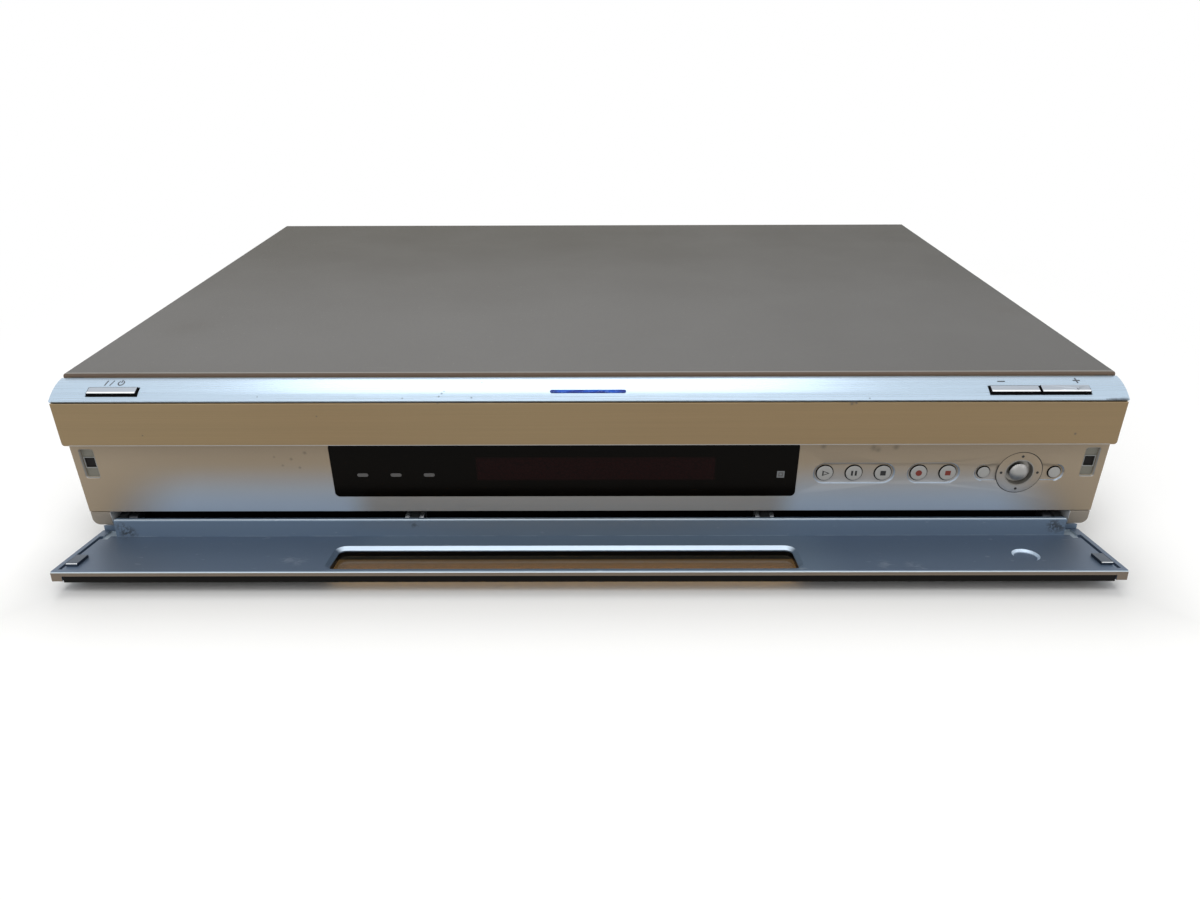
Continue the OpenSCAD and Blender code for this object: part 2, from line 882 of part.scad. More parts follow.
// The door's window, with its see-through opening and the slope around its inner edge
module door_window_cut() {
    r = 3;
    deep = 1.5 + over;
    outer = door_in + over;
    inner = door_in - deep;
    along_y(door_out - over, outer) round_rect(window_low, window_high, r);
    along_x(window_low.x + r, window_high.x - r) polygon([
        [inner, window_low.y + over], [outer, window_low.y - deep],
        [outer, window_high.y + deep], [inner, window_high.y - over]
    ]);
    translate([0, 0, window_low.y + r]) linear_extrude(door_window_h - 2 * r) polygon([
        [window_low.x + over, inner], [window_low.x - deep, outer],
        [window_high.x + deep, outer], [window_high.x - over, inner]
    ]);
    for (x = [window_low.x + r, window_high.x - r])
        for (z = [window_low.y + r, window_high.y - r])
            translate([x, outer, z]) rotate([90, 0, 0])
                cylinder(r1 = r + deep, r2 = r - over, h = outer - inner);
}

module door_frame() {
    chamfer = 2;
    rim = 0.6;
    groove_in = 3.4;
    groove_out = 1.9;
    pocket_d = 1.3;
    pocket_r = collar_r - 0.6;
    color("slategray") open_door() difference() {
        union() {
            along_x(-half_w, half_w) polygon([
                [plate_in, door_bottom], [door_in, door_bottom], [door_in, door_top - rim],
                [door_in - rim, door_top], [plate_in, door_top]
            ]);
            block([-half_w, door_out, door_bottom], [half_w, plate_in, plate_bottom - 0.3]);
            both_sides() {
                block([plate_half + 0.3, door_out, door_bottom], [half_w, plate_in, door_top]);
                block([flange_half + fit_gap, door_out, door_bottom - lip_drop],
                    [half_w, door_in + lip_reach, door_bottom]);
            }
            along_x(-flange_half, flange_half) polygon([
                [door_in - 1, flange_top - flange_t], [flange_tip, flange_top - flange_t],
                [flange_tip, flange_top - rim], [flange_tip - rim, flange_top], [door_in - 1, flange_top]
            ]);
            for (x = arm_places)
                door_arm(x);
        }
        door_window_cut();
        translate([stick_at, door_in + over, stick_z]) rotate([90, 0, 0])
            cylinder(r1 = pocket_r + over, r2 = pocket_r - pocket_d, h = pocket_d + over);
        rod_x(hinge_back, hinge_z, pin_r + slip, -half_w, half_w);
        both_sides() {
            block([half_w - groove_in, door_in - 1.2, door_bottom + 6.4],
                [half_w - groove_out, door_in + over, door_top - 2.2]);
            block([flange_half + 0.3, door_in - 0.8, door_bottom + 0.8],
                [half_w - groove_in, door_in + over, flange_top - 0.4]);
            block([half_w - groove_in - 3.4, door_in - 0.8, flange_top - 1],
                [half_w - groove_in, door_in + over, flange_top + 2.6]);
            translate([half_w, 0, door_bottom - lip_drop]) rotate([0, 45, 0])
                cube([chamfer * sqrt(2), 60, chamfer * sqrt(2)], center = true);
        }
    }
}

module door_plate() {
    color([0.15, 0.12, 0.1, 0.6]) open_door() difference() {
        along_y(plate_out, plate_in) round_rect([-plate_half, plate_bottom], [plate_half, door_top], 1);
        along_y(plate_out + pane_t, plate_in + over) round_rect(window_low, window_high, 3);
    }
}

module door_strikes() {
    color("gainsboro") open_door() both_sides()
        block([catch_x - strike_w / 2, door_in, catch_z - strike_l / 2],
            [catch_x + strike_w / 2, door_in + strike_t, catch_z + strike_l / 2]);
}

module hinge_ear(x, t) {
    rod_x(hinge_back, hinge_z, ear_r, x, x + t);
    translate([x, hinge_back, floor_top]) cube([t, ear_back - hinge_back, hinge_z + 1.5 - floor_top]);
}

module hinge_brackets() {
    gap = arm_w / 2 + fit_gap;
    color("dimgray") front() both_sides() difference() {
        union() {
            hinge_ear(middle_arm - gap - ear_t, ear_t);
            hinge_ear(middle_arm + gap, ear_t);
            block([middle_arm - gap, hinge_back + arm_r + 0.7, floor_top],
                [middle_arm + gap, ear_back, floor_top + 1]);
            hinge_ear(outer_arm - gap - outer_ear_t, outer_ear_t);
        }
        rod_x(hinge_back, hinge_z, pin_r + press, 0, half_w);
    }
}

module hinge_pins() {
    gap = arm_w / 2 + fit_gap;
    color("silver") front() both_sides() {
        rod_x(hinge_back, hinge_z, pin_r, middle_arm - gap - ear_t, middle_arm + gap + ear_t);
        rod_x(hinge_back, hinge_z, pin_r, outer_arm - gap - outer_ear_t, outer_arm + arm_w / 2);
    }
}

// Boards

module main_board() {
    color("darkgreen") front()
        block([main_left, main_front, main_top - board_t], [main_right, main_back, main_top]);
}

module main_chips() {
    color("black") front() {
        for (p = [[20, 30, 28], [75, 24, 16], [75, 52, 16], [112, 40, 22], [124, 80, 14], [30, 90, 18]])
            translate([main_left + p.x, main_front + p.y, main_top]) cube([p.z, p.z, 2.4]);
        block([ribbon_left - 6, main_front + 3, main_top],
            [ribbon_right + 6, main_front + 9, main_top + connector_h]);
        block([main_left + 2, cable_y - 10, main_top],
            [main_left + 8, cable_y + 16, main_top + connector_h]);
    }
}

module heatsink() {
    low = [main_left + 19, main_front + 29, main_top + 2.4];
    color("silver") front() {
        translate(low) cube([30, 30, 3]);
        for (i = [0:5])
            translate(low + [5.5 * i + 0.5, 0, 2.5]) cube([1.5, 30, 14]);
    }
}

module tuner_modules() {
    color("silver") front() for (x = aerial_places)
        block([x - tuner_half, panel_inner - 52, main_top],
            [x + tuner_half, panel_inner - 0.5, main_top + 16]);
}

module aerial_connectors() {
    tip = case_depth + jack_reach;
    color("gainsboro") front() for (x = aerial_places) difference() {
        union() {
            rod_y(x, aerial_z, aerial_r - 0.5, panel_inner - 0.5, rear_y);
            rod_y(x, aerial_z, aerial_r + 2, rear_y, rear_y + aerial_nut_t);
            rod_y(x, aerial_z, aerial_r, rear_y + aerial_nut_t, tip);
        }
        rod_y(x, aerial_z, 1, tip - 6, tip + over);
    }
}

module av_jack_block() {
    color("black") front()
        block([jack_places[0] - 7, panel_inner - 14, main_top],
            [jack_places[len(jack_places) - 1] + 7, panel_inner - 0.5, jack_rows[1] + 7]);
}

module av_jack_barrels() {
    color("gold") front() for (x = jack_places)
        for (z = jack_rows)
            difference() {
                rod_y(x, z, jack_r, panel_inner - 0.5, rear_y + 7.5);
                rod_y(x, z, 1.7, rear_y - 0.5, rear_y + 7.5 + over);
            }
}

module video_port() {
    color("silver") front() difference() {
        along_y(panel_inner - 11, rear_y + 0.8)
            round_rect([port_x - 7.6, main_top], [port_x + 7.6, main_top + 6], 0.6);
        along_y(rear_y - 7, rear_y + over)
            round_rect([port_x - 7, main_top + 0.7], [port_x + 7, main_top + 2], 0.4);
        along_y(rear_y - 7, rear_y + over)
            round_rect([port_x - 7, main_top + 3.4], [port_x + 7, main_top + 5.3], 0.4);
    }
}

module power_board() {
    color("peru") front()
        block([power_left, power_front, main_top - board_t], [power_right, main_back, main_top]);
}

module power_components() {
    color("goldenrod") front() {
        block([power_left + 52, power_front + 20, main_top],
            [power_left + 84, power_front + 50, main_top + 28]);
        block([power_left + 62, power_front + 60, main_top],
            [power_left + 92, power_front + 64, main_top + 30]);
        for (p = [[18, 24, 11], [18, 52, 11], [40, 12, 6], [90, 12, 6], [72, 76, 5]])
            translate([power_left + p.x, power_front + p.y, main_top]) cylinder(r = p.z, h = 18 + p.z);
    }
}

module mains_inlet() {
    color("black") front() difference() {
        union() {
            along_y(panel_inner - 14, rear_y)
                round_rect([inlet_x - 11.6, inlet_z - 6.6], [inlet_x + 11.6, inlet_z + 6.6], 1.6);
            along_y(rear_y, rear_y + 1.6)
                round_rect([inlet_x - 14, inlet_z - 9], [inlet_x + 14, inlet_z + 9], 2.5);
            block([inlet_x - 9, panel_inner - 14, main_top], [inlet_x + 9, panel_inner - 4, inlet_z - 6]);
        }
        difference() {
            along_y(rear_y - 11, rear_y + 1.6 + over) pill(inlet_x - 4.3, inlet_x + 4.3, inlet_z, 4);
            for (side = [-1, 1])
                rod_y(inlet_x + side * 4.3, inlet_z, 1.18, rear_y - 12, rear_y - 1);
        }
    }
}

module ribbon_cable() {
    ribbon_t = 0.3;
    y_mid = main_front + 6;
    color("gainsboro") front() {
        block([ribbon_left, board_y + board_t, ribbon_z - ribbon_t], [ribbon_right, y_mid, ribbon_z]);
        block([ribbon_left, y_mid - ribbon_t, main_top + connector_h], [ribbon_right, y_mid, ribbon_z]);
    }
}

module drive_cable() {
    cable_t = 0.6;
    low = disk_floor + 14;
    back = cable_y + 5;
    right = main_left + 5;
    color("dimgray") front() {
        block([disk_x + 26, disk_front + disk_l, low], [disk_x + 50, back, low + cable_t]);
        block([disk_x + 49, cable_y, low], [right, back, low + cable_t]);
        block([right - cable_t, cable_y, main_top + connector_h], [right, back, low + cable_t]);
    }
}

// Fan

module fan_frame() {
    side = fan_side / 2;
    bore_r = side - 1.2;
    back = panel_inner - fan_depth;
    color("black") front() {
        difference() {
            block([fan_x - side, back, fan_z - side], [fan_x + side, panel_inner, fan_z + side]);
            rod_y(fan_x, fan_z, bore_r, back - over, panel_inner + over);
        }
        rod_y(fan_x, fan_z, 8, back, back + 1.5);
        rod_y(fan_x, fan_z, fan_post_r, back, panel_inner - 1.5);
        for (angle = [45:90:315])
            translate([fan_x, back, fan_z]) rotate([0, angle, 0]) translate([7, 0, -1])
                cube([bore_r - 6.5, 1.5, 2]);
    }
}

module fan_rotor() {
    tip_r = fan_side / 2 - 2;
    from = panel_inner - fan_depth + 2;
    to = panel_inner - 1;
    mid = (from + to) / 2;
    color("dimgray") front() difference() {
        union() {
            rod_y(fan_x, fan_z, 8.5, from, to);
            intersection() {
                rod_y(fan_x, fan_z, tip_r, from, to);
                for (angle = [0:360 / 7:359])
                    translate([fan_x, mid, fan_z]) rotate([0, angle, 0]) rotate([40, 0, 0])
                        block([6, -9, -0.6], [tip_r + 4, 9, 0.6]);
            }
        }
        rod_y(fan_x, fan_z, fan_post_r + slip, from - over, to - 0.4);
    }
}

// Hard disk

module disk_bracket() {
    side = disk_w / 2;
    color("silver") front() {
        block([disk_x - side - 2, disk_front - 2, floor_top + disk_leg_h],
            [disk_x + side + 2, disk_front + disk_l + 2, disk_floor]);
        for (x = [disk_x - side - 2, disk_x + side + 1])
            block([x, disk_front - 2, disk_floor], [x + 1, disk_front + disk_l + 2, disk_floor + 12]);
        for (x = [disk_x - side + 6, disk_x + side - 6])
            for (y = [disk_front + 8, disk_front + disk_l - 8])
                translate([x, y, floor_top]) cylinder(r = 3, h = disk_leg_h);
    }
}

module disk_base() {
    side = disk_w / 2;
    top = disk_floor + disk_h - disk_lid_t;
    color("dimgray") front() {
        difference() {
            block([disk_x - side, disk_front, disk_floor], [disk_x + side, disk_front + disk_l, top]);
            translate([disk_x, spindle_y, disk_deck]) cylinder(r = platter_r + 0.8, h = disk_h, $fn = 96);
            block([disk_x - side + 6, spindle_y + platter_r - 22, disk_deck],
                [disk_x + side - 6, disk_front + disk_l - 6, top + over]);
        }
        translate([disk_x, spindle_y, disk_deck - over])
            cylinder(r = spindle_r, h = top - disk_deck + over - 1);
        translate([actuator_x, actuator_y, disk_deck - over])
            cylinder(r = actuator_post_r, h = top - disk_deck + over - 1);
    }
}

module disk_lid() {
    side = disk_w / 2;
    low = disk_floor + disk_h - disk_lid_t;
    color("silver") front()
        block([disk_x - side, disk_front, low], [disk_x + side, disk_front + disk_l, low + disk_lid_t]);
}

module disk_platters() {
    hub_h = 3 * platter_gap + platter_t;
    low = disk_deck + 1;
    color("gainsboro") front() translate([disk_x, spindle_y, low]) difference() {
        union() {
            cylinder(r = 12.5, h = hub_h);
            for (z = [platter_gap, platter_gap + platter_t + platter_gap])
                translate([0, 0, z]) cylinder(r = platter_r, h = platter_t, $fn = 96);
        }
        translate([0, 0, -over]) cylinder(r = spindle_r + slip, h = hub_h + 2 * over);
    }
}

module disk_actuator() {
    arm_t = 1;
    arm_l = norm([actuator_x - disk_x, actuator_y - spindle_y]) - 22;
    aim = atan2(spindle_y - actuator_y, disk_x - actuator_x) + 16;
    hub_h = 3 * platter_gap + platter_t;
    low = disk_deck + 1;
    mid_gap = platter_gap + platter_t + platter_gap / 2;
    color("goldenrod") front() translate([actuator_x, actuator_y, low]) difference() {
        union() {
            cylinder(r = 7, h = hub_h);
            rotate(aim) translate([0, -2.5, mid_gap - arm_t / 2]) cube([arm_l, 5, arm_t]);
            rotate(aim + 180) translate([0, -7, 1]) cube([15, 14, 5]);
        }
        translate([0, 0, -over]) cylinder(r = actuator_post_r + slip, h = hub_h + 2 * over);
    }
}

bottom_chassis();
rear_panel();
top_cover();
front_frame();
visor_panel();
top_strip();
lower_fascia();
display_window();
led_lenses();
blue_light_bar();
catch_housings();
catch_magnets();
stick_collar();
stick_base();
display_board();
display_tube();
strip_board();
tact_switches();
hinge_brackets();
hinge_pins();
feet();
foot_pads();
cover_screws();
rear_screws();
main_board();
main_chips();
heatsink();
tuner_modules();
aerial_connectors();
av_jack_block();
av_jack_barrels();
video_port();
power_board();
power_components();
mains_inlet();
fan_frame();
disk_bracket();
disk_base();
disk_lid();
ribbon_cable();
drive_cable();
door_frame();
door_plate();
door_strikes();
power_key();
program_minus_key();
program_plus_key();
play_key();
pause_key();
stop_key();
record_key();
record_stop_key();
return_key();
menu_key();
stick_gimbal();
stick_stem();
stick_cap();
fan_rotor();
disk_platters();
disk_actuator();
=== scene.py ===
"""Looks of a flat video recorder with its front door open: camera, studio, materials and fine detail."""

import json
import math

import bmesh
import bpy
from mathutils import Matrix, Vector

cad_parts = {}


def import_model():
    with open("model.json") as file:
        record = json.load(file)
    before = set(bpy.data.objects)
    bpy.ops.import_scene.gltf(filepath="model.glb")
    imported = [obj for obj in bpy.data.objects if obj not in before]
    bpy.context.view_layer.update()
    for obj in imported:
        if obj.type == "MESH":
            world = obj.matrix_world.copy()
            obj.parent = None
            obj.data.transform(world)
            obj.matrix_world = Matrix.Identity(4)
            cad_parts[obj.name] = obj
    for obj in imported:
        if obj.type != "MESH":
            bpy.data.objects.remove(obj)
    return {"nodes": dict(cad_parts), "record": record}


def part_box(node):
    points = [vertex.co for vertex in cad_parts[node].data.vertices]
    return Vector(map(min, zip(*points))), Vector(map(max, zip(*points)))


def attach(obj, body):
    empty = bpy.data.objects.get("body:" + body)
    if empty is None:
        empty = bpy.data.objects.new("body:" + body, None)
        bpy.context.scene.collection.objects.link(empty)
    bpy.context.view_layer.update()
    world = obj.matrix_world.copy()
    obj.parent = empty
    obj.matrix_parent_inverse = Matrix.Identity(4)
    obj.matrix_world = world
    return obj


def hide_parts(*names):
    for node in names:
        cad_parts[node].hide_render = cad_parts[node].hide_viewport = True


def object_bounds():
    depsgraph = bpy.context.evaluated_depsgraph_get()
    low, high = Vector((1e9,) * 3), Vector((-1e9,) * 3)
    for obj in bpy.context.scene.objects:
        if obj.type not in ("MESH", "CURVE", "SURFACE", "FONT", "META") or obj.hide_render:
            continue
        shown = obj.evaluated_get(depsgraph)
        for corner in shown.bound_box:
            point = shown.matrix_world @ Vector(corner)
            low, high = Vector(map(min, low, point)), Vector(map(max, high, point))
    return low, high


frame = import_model()
cad_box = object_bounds()
nodes = frame["nodes"]
body_of = {n: body for body, members in frame["record"]["behaviour"]["bodies"].items() for n in members}
scene = bpy.context.scene
scene.view_settings.view_transform = "Standard"

# Measures in millimetres, from the front edge where the strip meets the visor

MM = 0.001
VISOR_H = 19.75
FASCIA_H = 33.45
FASCIA_BACK = 4.0
STRIP_RUN, STRIP_RISE, STRIP_R = 12.4, 5.2, 22.0
STRIP_L = math.hypot(STRIP_RUN, STRIP_RISE)
STRIP_SAG = math.sqrt(STRIP_R ** 2 - STRIP_L ** 2 / 4)
HINGE_BACK = 9.3
HINGE_Z = -VISOR_H - FASCIA_H - 6.8
DOOR_OPEN = math.radians(83)
DOOR_TOP = -VISOR_H - 1.4
DOOR_IN = 3.6
PLATE_IN, PLATE_OUT = 1.6, -1.1
PLATE_HALF, PLATE_R = 210.5, 0.5
PLATE_BOTTOM = DOOR_TOP - 39.2 + 4.4
FLANGE_TOP, FLANGE_TIP = -53.5, 11.5
WINDOW_LEFT, WINDOW_RIGHT = -105.3, 85.4
WINDOW_TOP = DOOR_TOP - 3.7
WINDOW_BOTTOM = WINDOW_TOP - 17.8
WINDOW_R = 3.0
KEY_Z = -35.2
STICK_X, STICK_Z = 180.5, -35.0
FIELD_R = 9.55
KEYS_LEFT, KEYS_RIGHT = 91.5, 199.0
KEY_FACE = FASCIA_BACK + 0.1
KEY_FLOOR = FASCIA_BACK + 0.8
FIELD_FLOOR = FASCIA_BACK + 0.29
DISPLAY_FACE = FASCIA_BACK + 0.15
CATCH_X, CATCH_Z = 208.9, -29.9
CATCH_FLOOR = FASCIA_BACK + 1.2
REAR = 287.0
visor_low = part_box("visor_panel")[0]
NOSE = Vector((0, visor_low.y, visor_low.z + VISOR_H * MM))
COVER_LOW, COVER_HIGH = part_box("top_cover")


def at(x, back, up):
    """A point given in millimetres from the front edge."""
    return NOSE + Vector((x, back, up)) * MM


def on_strip(x, s, lift):
    """A point on the strip's convex face, s millimetres up its slope."""
    rise = math.sqrt(STRIP_R ** 2 - (s - STRIP_L / 2) ** 2) - STRIP_SAG + lift
    cos, sin = STRIP_RUN / STRIP_L, STRIP_RISE / STRIP_L
    return at(x, s * cos - rise * sin, s * sin + rise * cos)


def on_door(x, back, up):
    """A point drawn on the closed door, turned with it to the open place."""
    cos, sin = math.cos(DOOR_OPEN), math.sin(DOOR_OPEN)
    y, z = back - HINGE_BACK, up - HINGE_Z
    return at(x, HINGE_BACK + y * cos - z * sin, HINGE_Z + y * sin + z * cos)


# Camera

CAM_PLACE = Vector((0.0058, -0.44374, 0.2074))
PITCH, YAW, ROLL = math.radians(26.91), math.radians(-0.20), math.radians(0.20)


def make_camera():
    """The camera, fitted to the photo's edges."""
    data = bpy.data.cameras.new("camera")
    data.sensor_fit = "HORIZONTAL"
    data.sensor_width = 36
    data.lens = 25.584
    data.clip_start = 0.01
    cam = bpy.data.objects.new("camera", data)
    scene.collection.objects.link(cam)
    ahead = Vector((math.sin(YAW) * math.cos(PITCH), math.cos(YAW) * math.cos(PITCH), -math.sin(PITCH)))
    right = Vector((math.cos(YAW), -math.sin(YAW), 0))
    down = ahead.cross(right)
    turned_right = math.cos(ROLL) * right + math.sin(ROLL) * down
    turned_down = math.cos(ROLL) * down - math.sin(ROLL) * right
    turn = Matrix((turned_right, -turned_down, -ahead)).transposed()
    cam.matrix_world = Matrix.Translation(CAM_PLACE) @ turn.to_4x4()
    scene.camera = cam


make_camera()

# Node graphs for materials


def srgb(red, green, blue):
    """A screen colour from 0 to 255 as a linear colour."""
    def linear(c):
        c /= 255
        return c / 12.92 if c <= 0.04045 else ((c + 0.055) / 1.055) ** 2.4
    return (linear(red), linear(green), linear(blue), 1)


# Sockets of the Mix node when it mixes colours
MIX_FACTOR, MIX_A, MIX_B, MIX_RESULT = 0, 6, 7, 2


class Finish:
    """A procedural material around one Principled shader, in the object's own coordinates."""

    def __init__(self, name, metallic=0.0, specular=0.5):
        self.mat = bpy.data.materials.new(name)
        self.mat.use_nodes = True
        self.tree = self.mat.node_tree
        self.tree.nodes.clear()
        self.out = self.node("ShaderNodeOutputMaterial")
        self.bsdf = self.node("ShaderNodeBsdfPrincipled")
        self.tree.links.new(self.bsdf.outputs["BSDF"], self.out.inputs["Surface"])
        self.bsdf.inputs["Metallic"].default_value = metallic
        self.bsdf.inputs["Specular IOR Level"].default_value = specular
        self.place = self.node("ShaderNodeTexCoord").outputs["Object"]

    def node(self, kind, **settings):
        made = self.tree.nodes.new(kind)
        for key, value in settings.items():
            setattr(made, key, value)
        return made

    def feed(self, socket, value):
        """Links a socket to another one, or sets its value."""
        if isinstance(value, bpy.types.NodeSocket):
            self.tree.links.new(value, socket)
        else:
            socket.default_value = value

    def scaled(self, size):
        """The object's coordinates divided by a size in millimetres, one number or one for each axis."""
        size = size if isinstance(size, tuple) else (size, size, size)
        mapping = self.node("ShaderNodeMapping")
        self.feed(mapping.inputs["Vector"], self.place)
        mapping.inputs["Scale"].default_value = [1 / (s * MM) for s in size]
        return mapping.outputs["Vector"]

    def noise(self, size, detail=2.0, rough=0.5):
        made = self.node("ShaderNodeTexNoise")
        self.feed(made.inputs["Vector"], self.scaled(size))
        made.inputs["Scale"].default_value = 1
        made.inputs["Detail"].default_value = detail
        made.inputs["Roughness"].default_value = rough
        return made.outputs["Fac"]

    def cells(self, size, feature="F1", output="Distance"):
        made = self.node("ShaderNodeTexVoronoi", feature=feature)
        self.feed(made.inputs["Vector"], self.scaled(size))
        made.inputs["Scale"].default_value = 1
        return made.outputs[output]

    def axis(self, name):
        split = self.node("ShaderNodeSeparateXYZ")
        self.feed(split.inputs["Vector"], self.place)
        return split.outputs[name]

    def calc(self, kind, a, b=0.0, c=0.0):
        """The result of a Math node."""
        made = self.node("ShaderNodeMath", operation=kind)
        for socket, value in zip(made.inputs, (a, b, c)):
            self.feed(socket, value)
        return made.outputs[0]

    def fade(self, value, low, high, to_low=0.0, to_high=1.0):
        """A smooth step of a value between two limits."""
        made = self.node("ShaderNodeMapRange", interpolation_type="SMOOTHSTEP")
        for key, number in zip(("Value", "From Min", "From Max", "To Min", "To Max"),
                               (value, low, high, to_low, to_high)):
            self.feed(made.inputs[key], number)
        return made.outputs["Result"]

    def fall(self, value, low, high):
        """A smooth step down from one to nought."""
        return self.fade(value, low, high, 1.0, 0.0)

    def all_of(self, first, *rest):
        """The product of masks."""
        for mask in rest:
            first = self.calc("MULTIPLY", first, mask)
        return first

    def between(self, value, low, high, soft):
        """One between two limits and nought outside them, with soft ends."""
        rise = self.fade(value, low - soft, low + soft)
        return self.all_of(rise, self.fall(value, high - soft, high + soft))

    def span(self, value, low, high, soft):
        """The same with the limits in millimetres."""
        return self.between(value, low * MM, high * MM, soft * MM)

    def distance(self, point):
        """How far the surface is from a point."""
        made = self.node("ShaderNodeVectorMath", operation="DISTANCE")
        self.feed(made.inputs[0], self.place)
        made.inputs[1].default_value = point
        return made.outputs["Value"]

    def near(self, point, radius, soft):
        """One close to a point, with an uneven edge."""
        uneven = self.calc("MULTIPLY_ADD", self.noise(3.0, 3.0), soft * MM * 2, self.distance(point))
        return self.fall(uneven, (radius - soft) * MM, (radius + soft * 2) * MM)

    def mix(self, factor, a, b):
        made = self.node("ShaderNodeMix", data_type="RGBA")
        self.feed(made.inputs[MIX_FACTOR], factor)
        self.feed(made.inputs[MIX_A], a)
        self.feed(made.inputs[MIX_B], b)
        return made.outputs[MIX_RESULT]

    def cover(self, base, mask, amount, colour):
        """A colour laid over another where a mask is, at a part of its strength."""
        return self.mix(self.calc("MULTIPLY", mask, amount), base, colour)

    def tint(self, colour, value, amount):
        """A colour made darker and lighter by a value around a half."""
        made = self.node("ShaderNodeHueSaturation")
        self.feed(made.inputs["Value"], self.calc("MULTIPLY_ADD", value, 2 * amount, 1 - amount))
        self.feed(made.inputs["Color"], colour)
        return made.outputs["Color"]

    def bump(self, height, depth):
        """Relief of a depth in millimetres."""
        made = self.node("ShaderNodeBump")
        made.inputs["Strength"].default_value = 1.0
        made.inputs["Distance"].default_value = depth * MM
        self.feed(made.inputs["Height"], height)
        self.feed(self.bsdf.inputs["Normal"], made.outputs["Normal"])

    def done(self, colour, rough):
        self.feed(self.bsdf.inputs["Base Color"], colour)
        self.feed(self.bsdf.inputs["Roughness"], rough)
        return self.mat


def brushed(name, colour, rough, metallic, streak, warm=None, grime=(), pale=None):
    """Trim brushed from left to right, with fine and broad streaks and specks of grime at points.

    warm is a second colour in broad patches. pale is a depth in front of which the trim turns nearly white,
    a painted highlight along a front edge.
    """
    f = Finish(name, metallic)
    fine = f.noise((70.0, 0.45, 0.45), 4.0, 0.65)
    broad = f.noise((260.0, 2.2, 2.2), 2.0)
    both = f.calc("MULTIPLY_ADD", fine, 0.65, f.calc("MULTIPLY", broad, 0.35))
    base = f.tint(colour, both, streak)
    if warm:
        base = f.mix(f.fade(f.noise(140.0, 1.0), 0.35, 0.65), base, f.tint(warm, both, streak))
    # Painted highlight: in front of the pale depth the trim turns nearly white.
    if pale:
        front = f.fall(f.axis("Y"), pale - 0.3 * MM, pale + 0.3 * MM)
        base = f.mix(front, base, srgb(240, 244, 247))
    for point, radius in grime:
        base = f.cover(base, f.near(point, radius, radius * 0.6), 0.8, srgb(58, 62, 70))
    f.bump(fine, 0.012)
    return f.done(base, f.calc("MULTIPLY_ADD", both, 0.16, rough - 0.08))


def painted(name, colour, vary, rough=0.5, metallic=0.0, grain=0.4, depth=0.03, specular=0.5):
    """Painted metal or moulded plastic with a fine grain and soft broad variation."""
    f = Finish(name, metallic, specular)
    fine = f.noise(grain, 3.0)
    broad = f.noise(35.0, 3.0)
    base = f.tint(f.tint(colour, fine, vary), broad, vary)
    f.bump(fine, depth)
    return f.done(base, f.calc("MULTIPLY_ADD", broad, 0.2, rough - 0.1))


def bare_metal(name, colour, spangle, rough=0.3, vary=0.08, metallic=1.0):
    """Sheet or turned metal with faint crystal patches of a size in millimetres and fine wear."""
    f = Finish(name, metallic)
    patch = f.cells(spangle, output="Color")
    grey = f.node("ShaderNodeRGBToBW")
    f.feed(grey.inputs["Color"], patch)
    base = f.tint(f.tint(colour, grey.outputs["Val"], vary), f.noise(12.0, 4.0), 0.08)
    f.bump(f.noise((3.0, 0.3, 0.3), 2.0), 0.006)
    return f.done(base, f.calc("MULTIPLY_ADD", f.noise(6.0, 4.0), 0.2, rough - 0.1))


def circuit(name, colour, track):
    """A circuit board with lacquered tracks and pads."""
    f = Finish(name)
    lanes = f.node("ShaderNodeTexBrick")
    f.feed(lanes.inputs["Vector"], f.scaled(7.0))
    lanes.inputs["Scale"].default_value = 1.0
    lanes.inputs["Mortar Size"].default_value = 0.035
    pads = f.fall(f.cells(4.2), 0.16, 0.20)
    base = f.mix(lanes.outputs["Fac"], f.tint(colour, f.noise(0.8, 2.0), 0.10), track)
    base = f.mix(pads, base, srgb(176, 178, 170))
    f.bump(lanes.outputs["Fac"], 0.05)
    return f.done(base, f.calc("MULTIPLY_ADD", f.noise(5.0, 2.0), 0.2, 0.32))


def ink(name, colour):
    """Printed ink with a slightly uneven cover."""
    f = Finish(name)
    return f.done(f.tint(colour, f.noise(0.25, 3.0), 0.10), f.calc("MULTIPLY_ADD", f.noise(0.6), 0.2, 0.4))


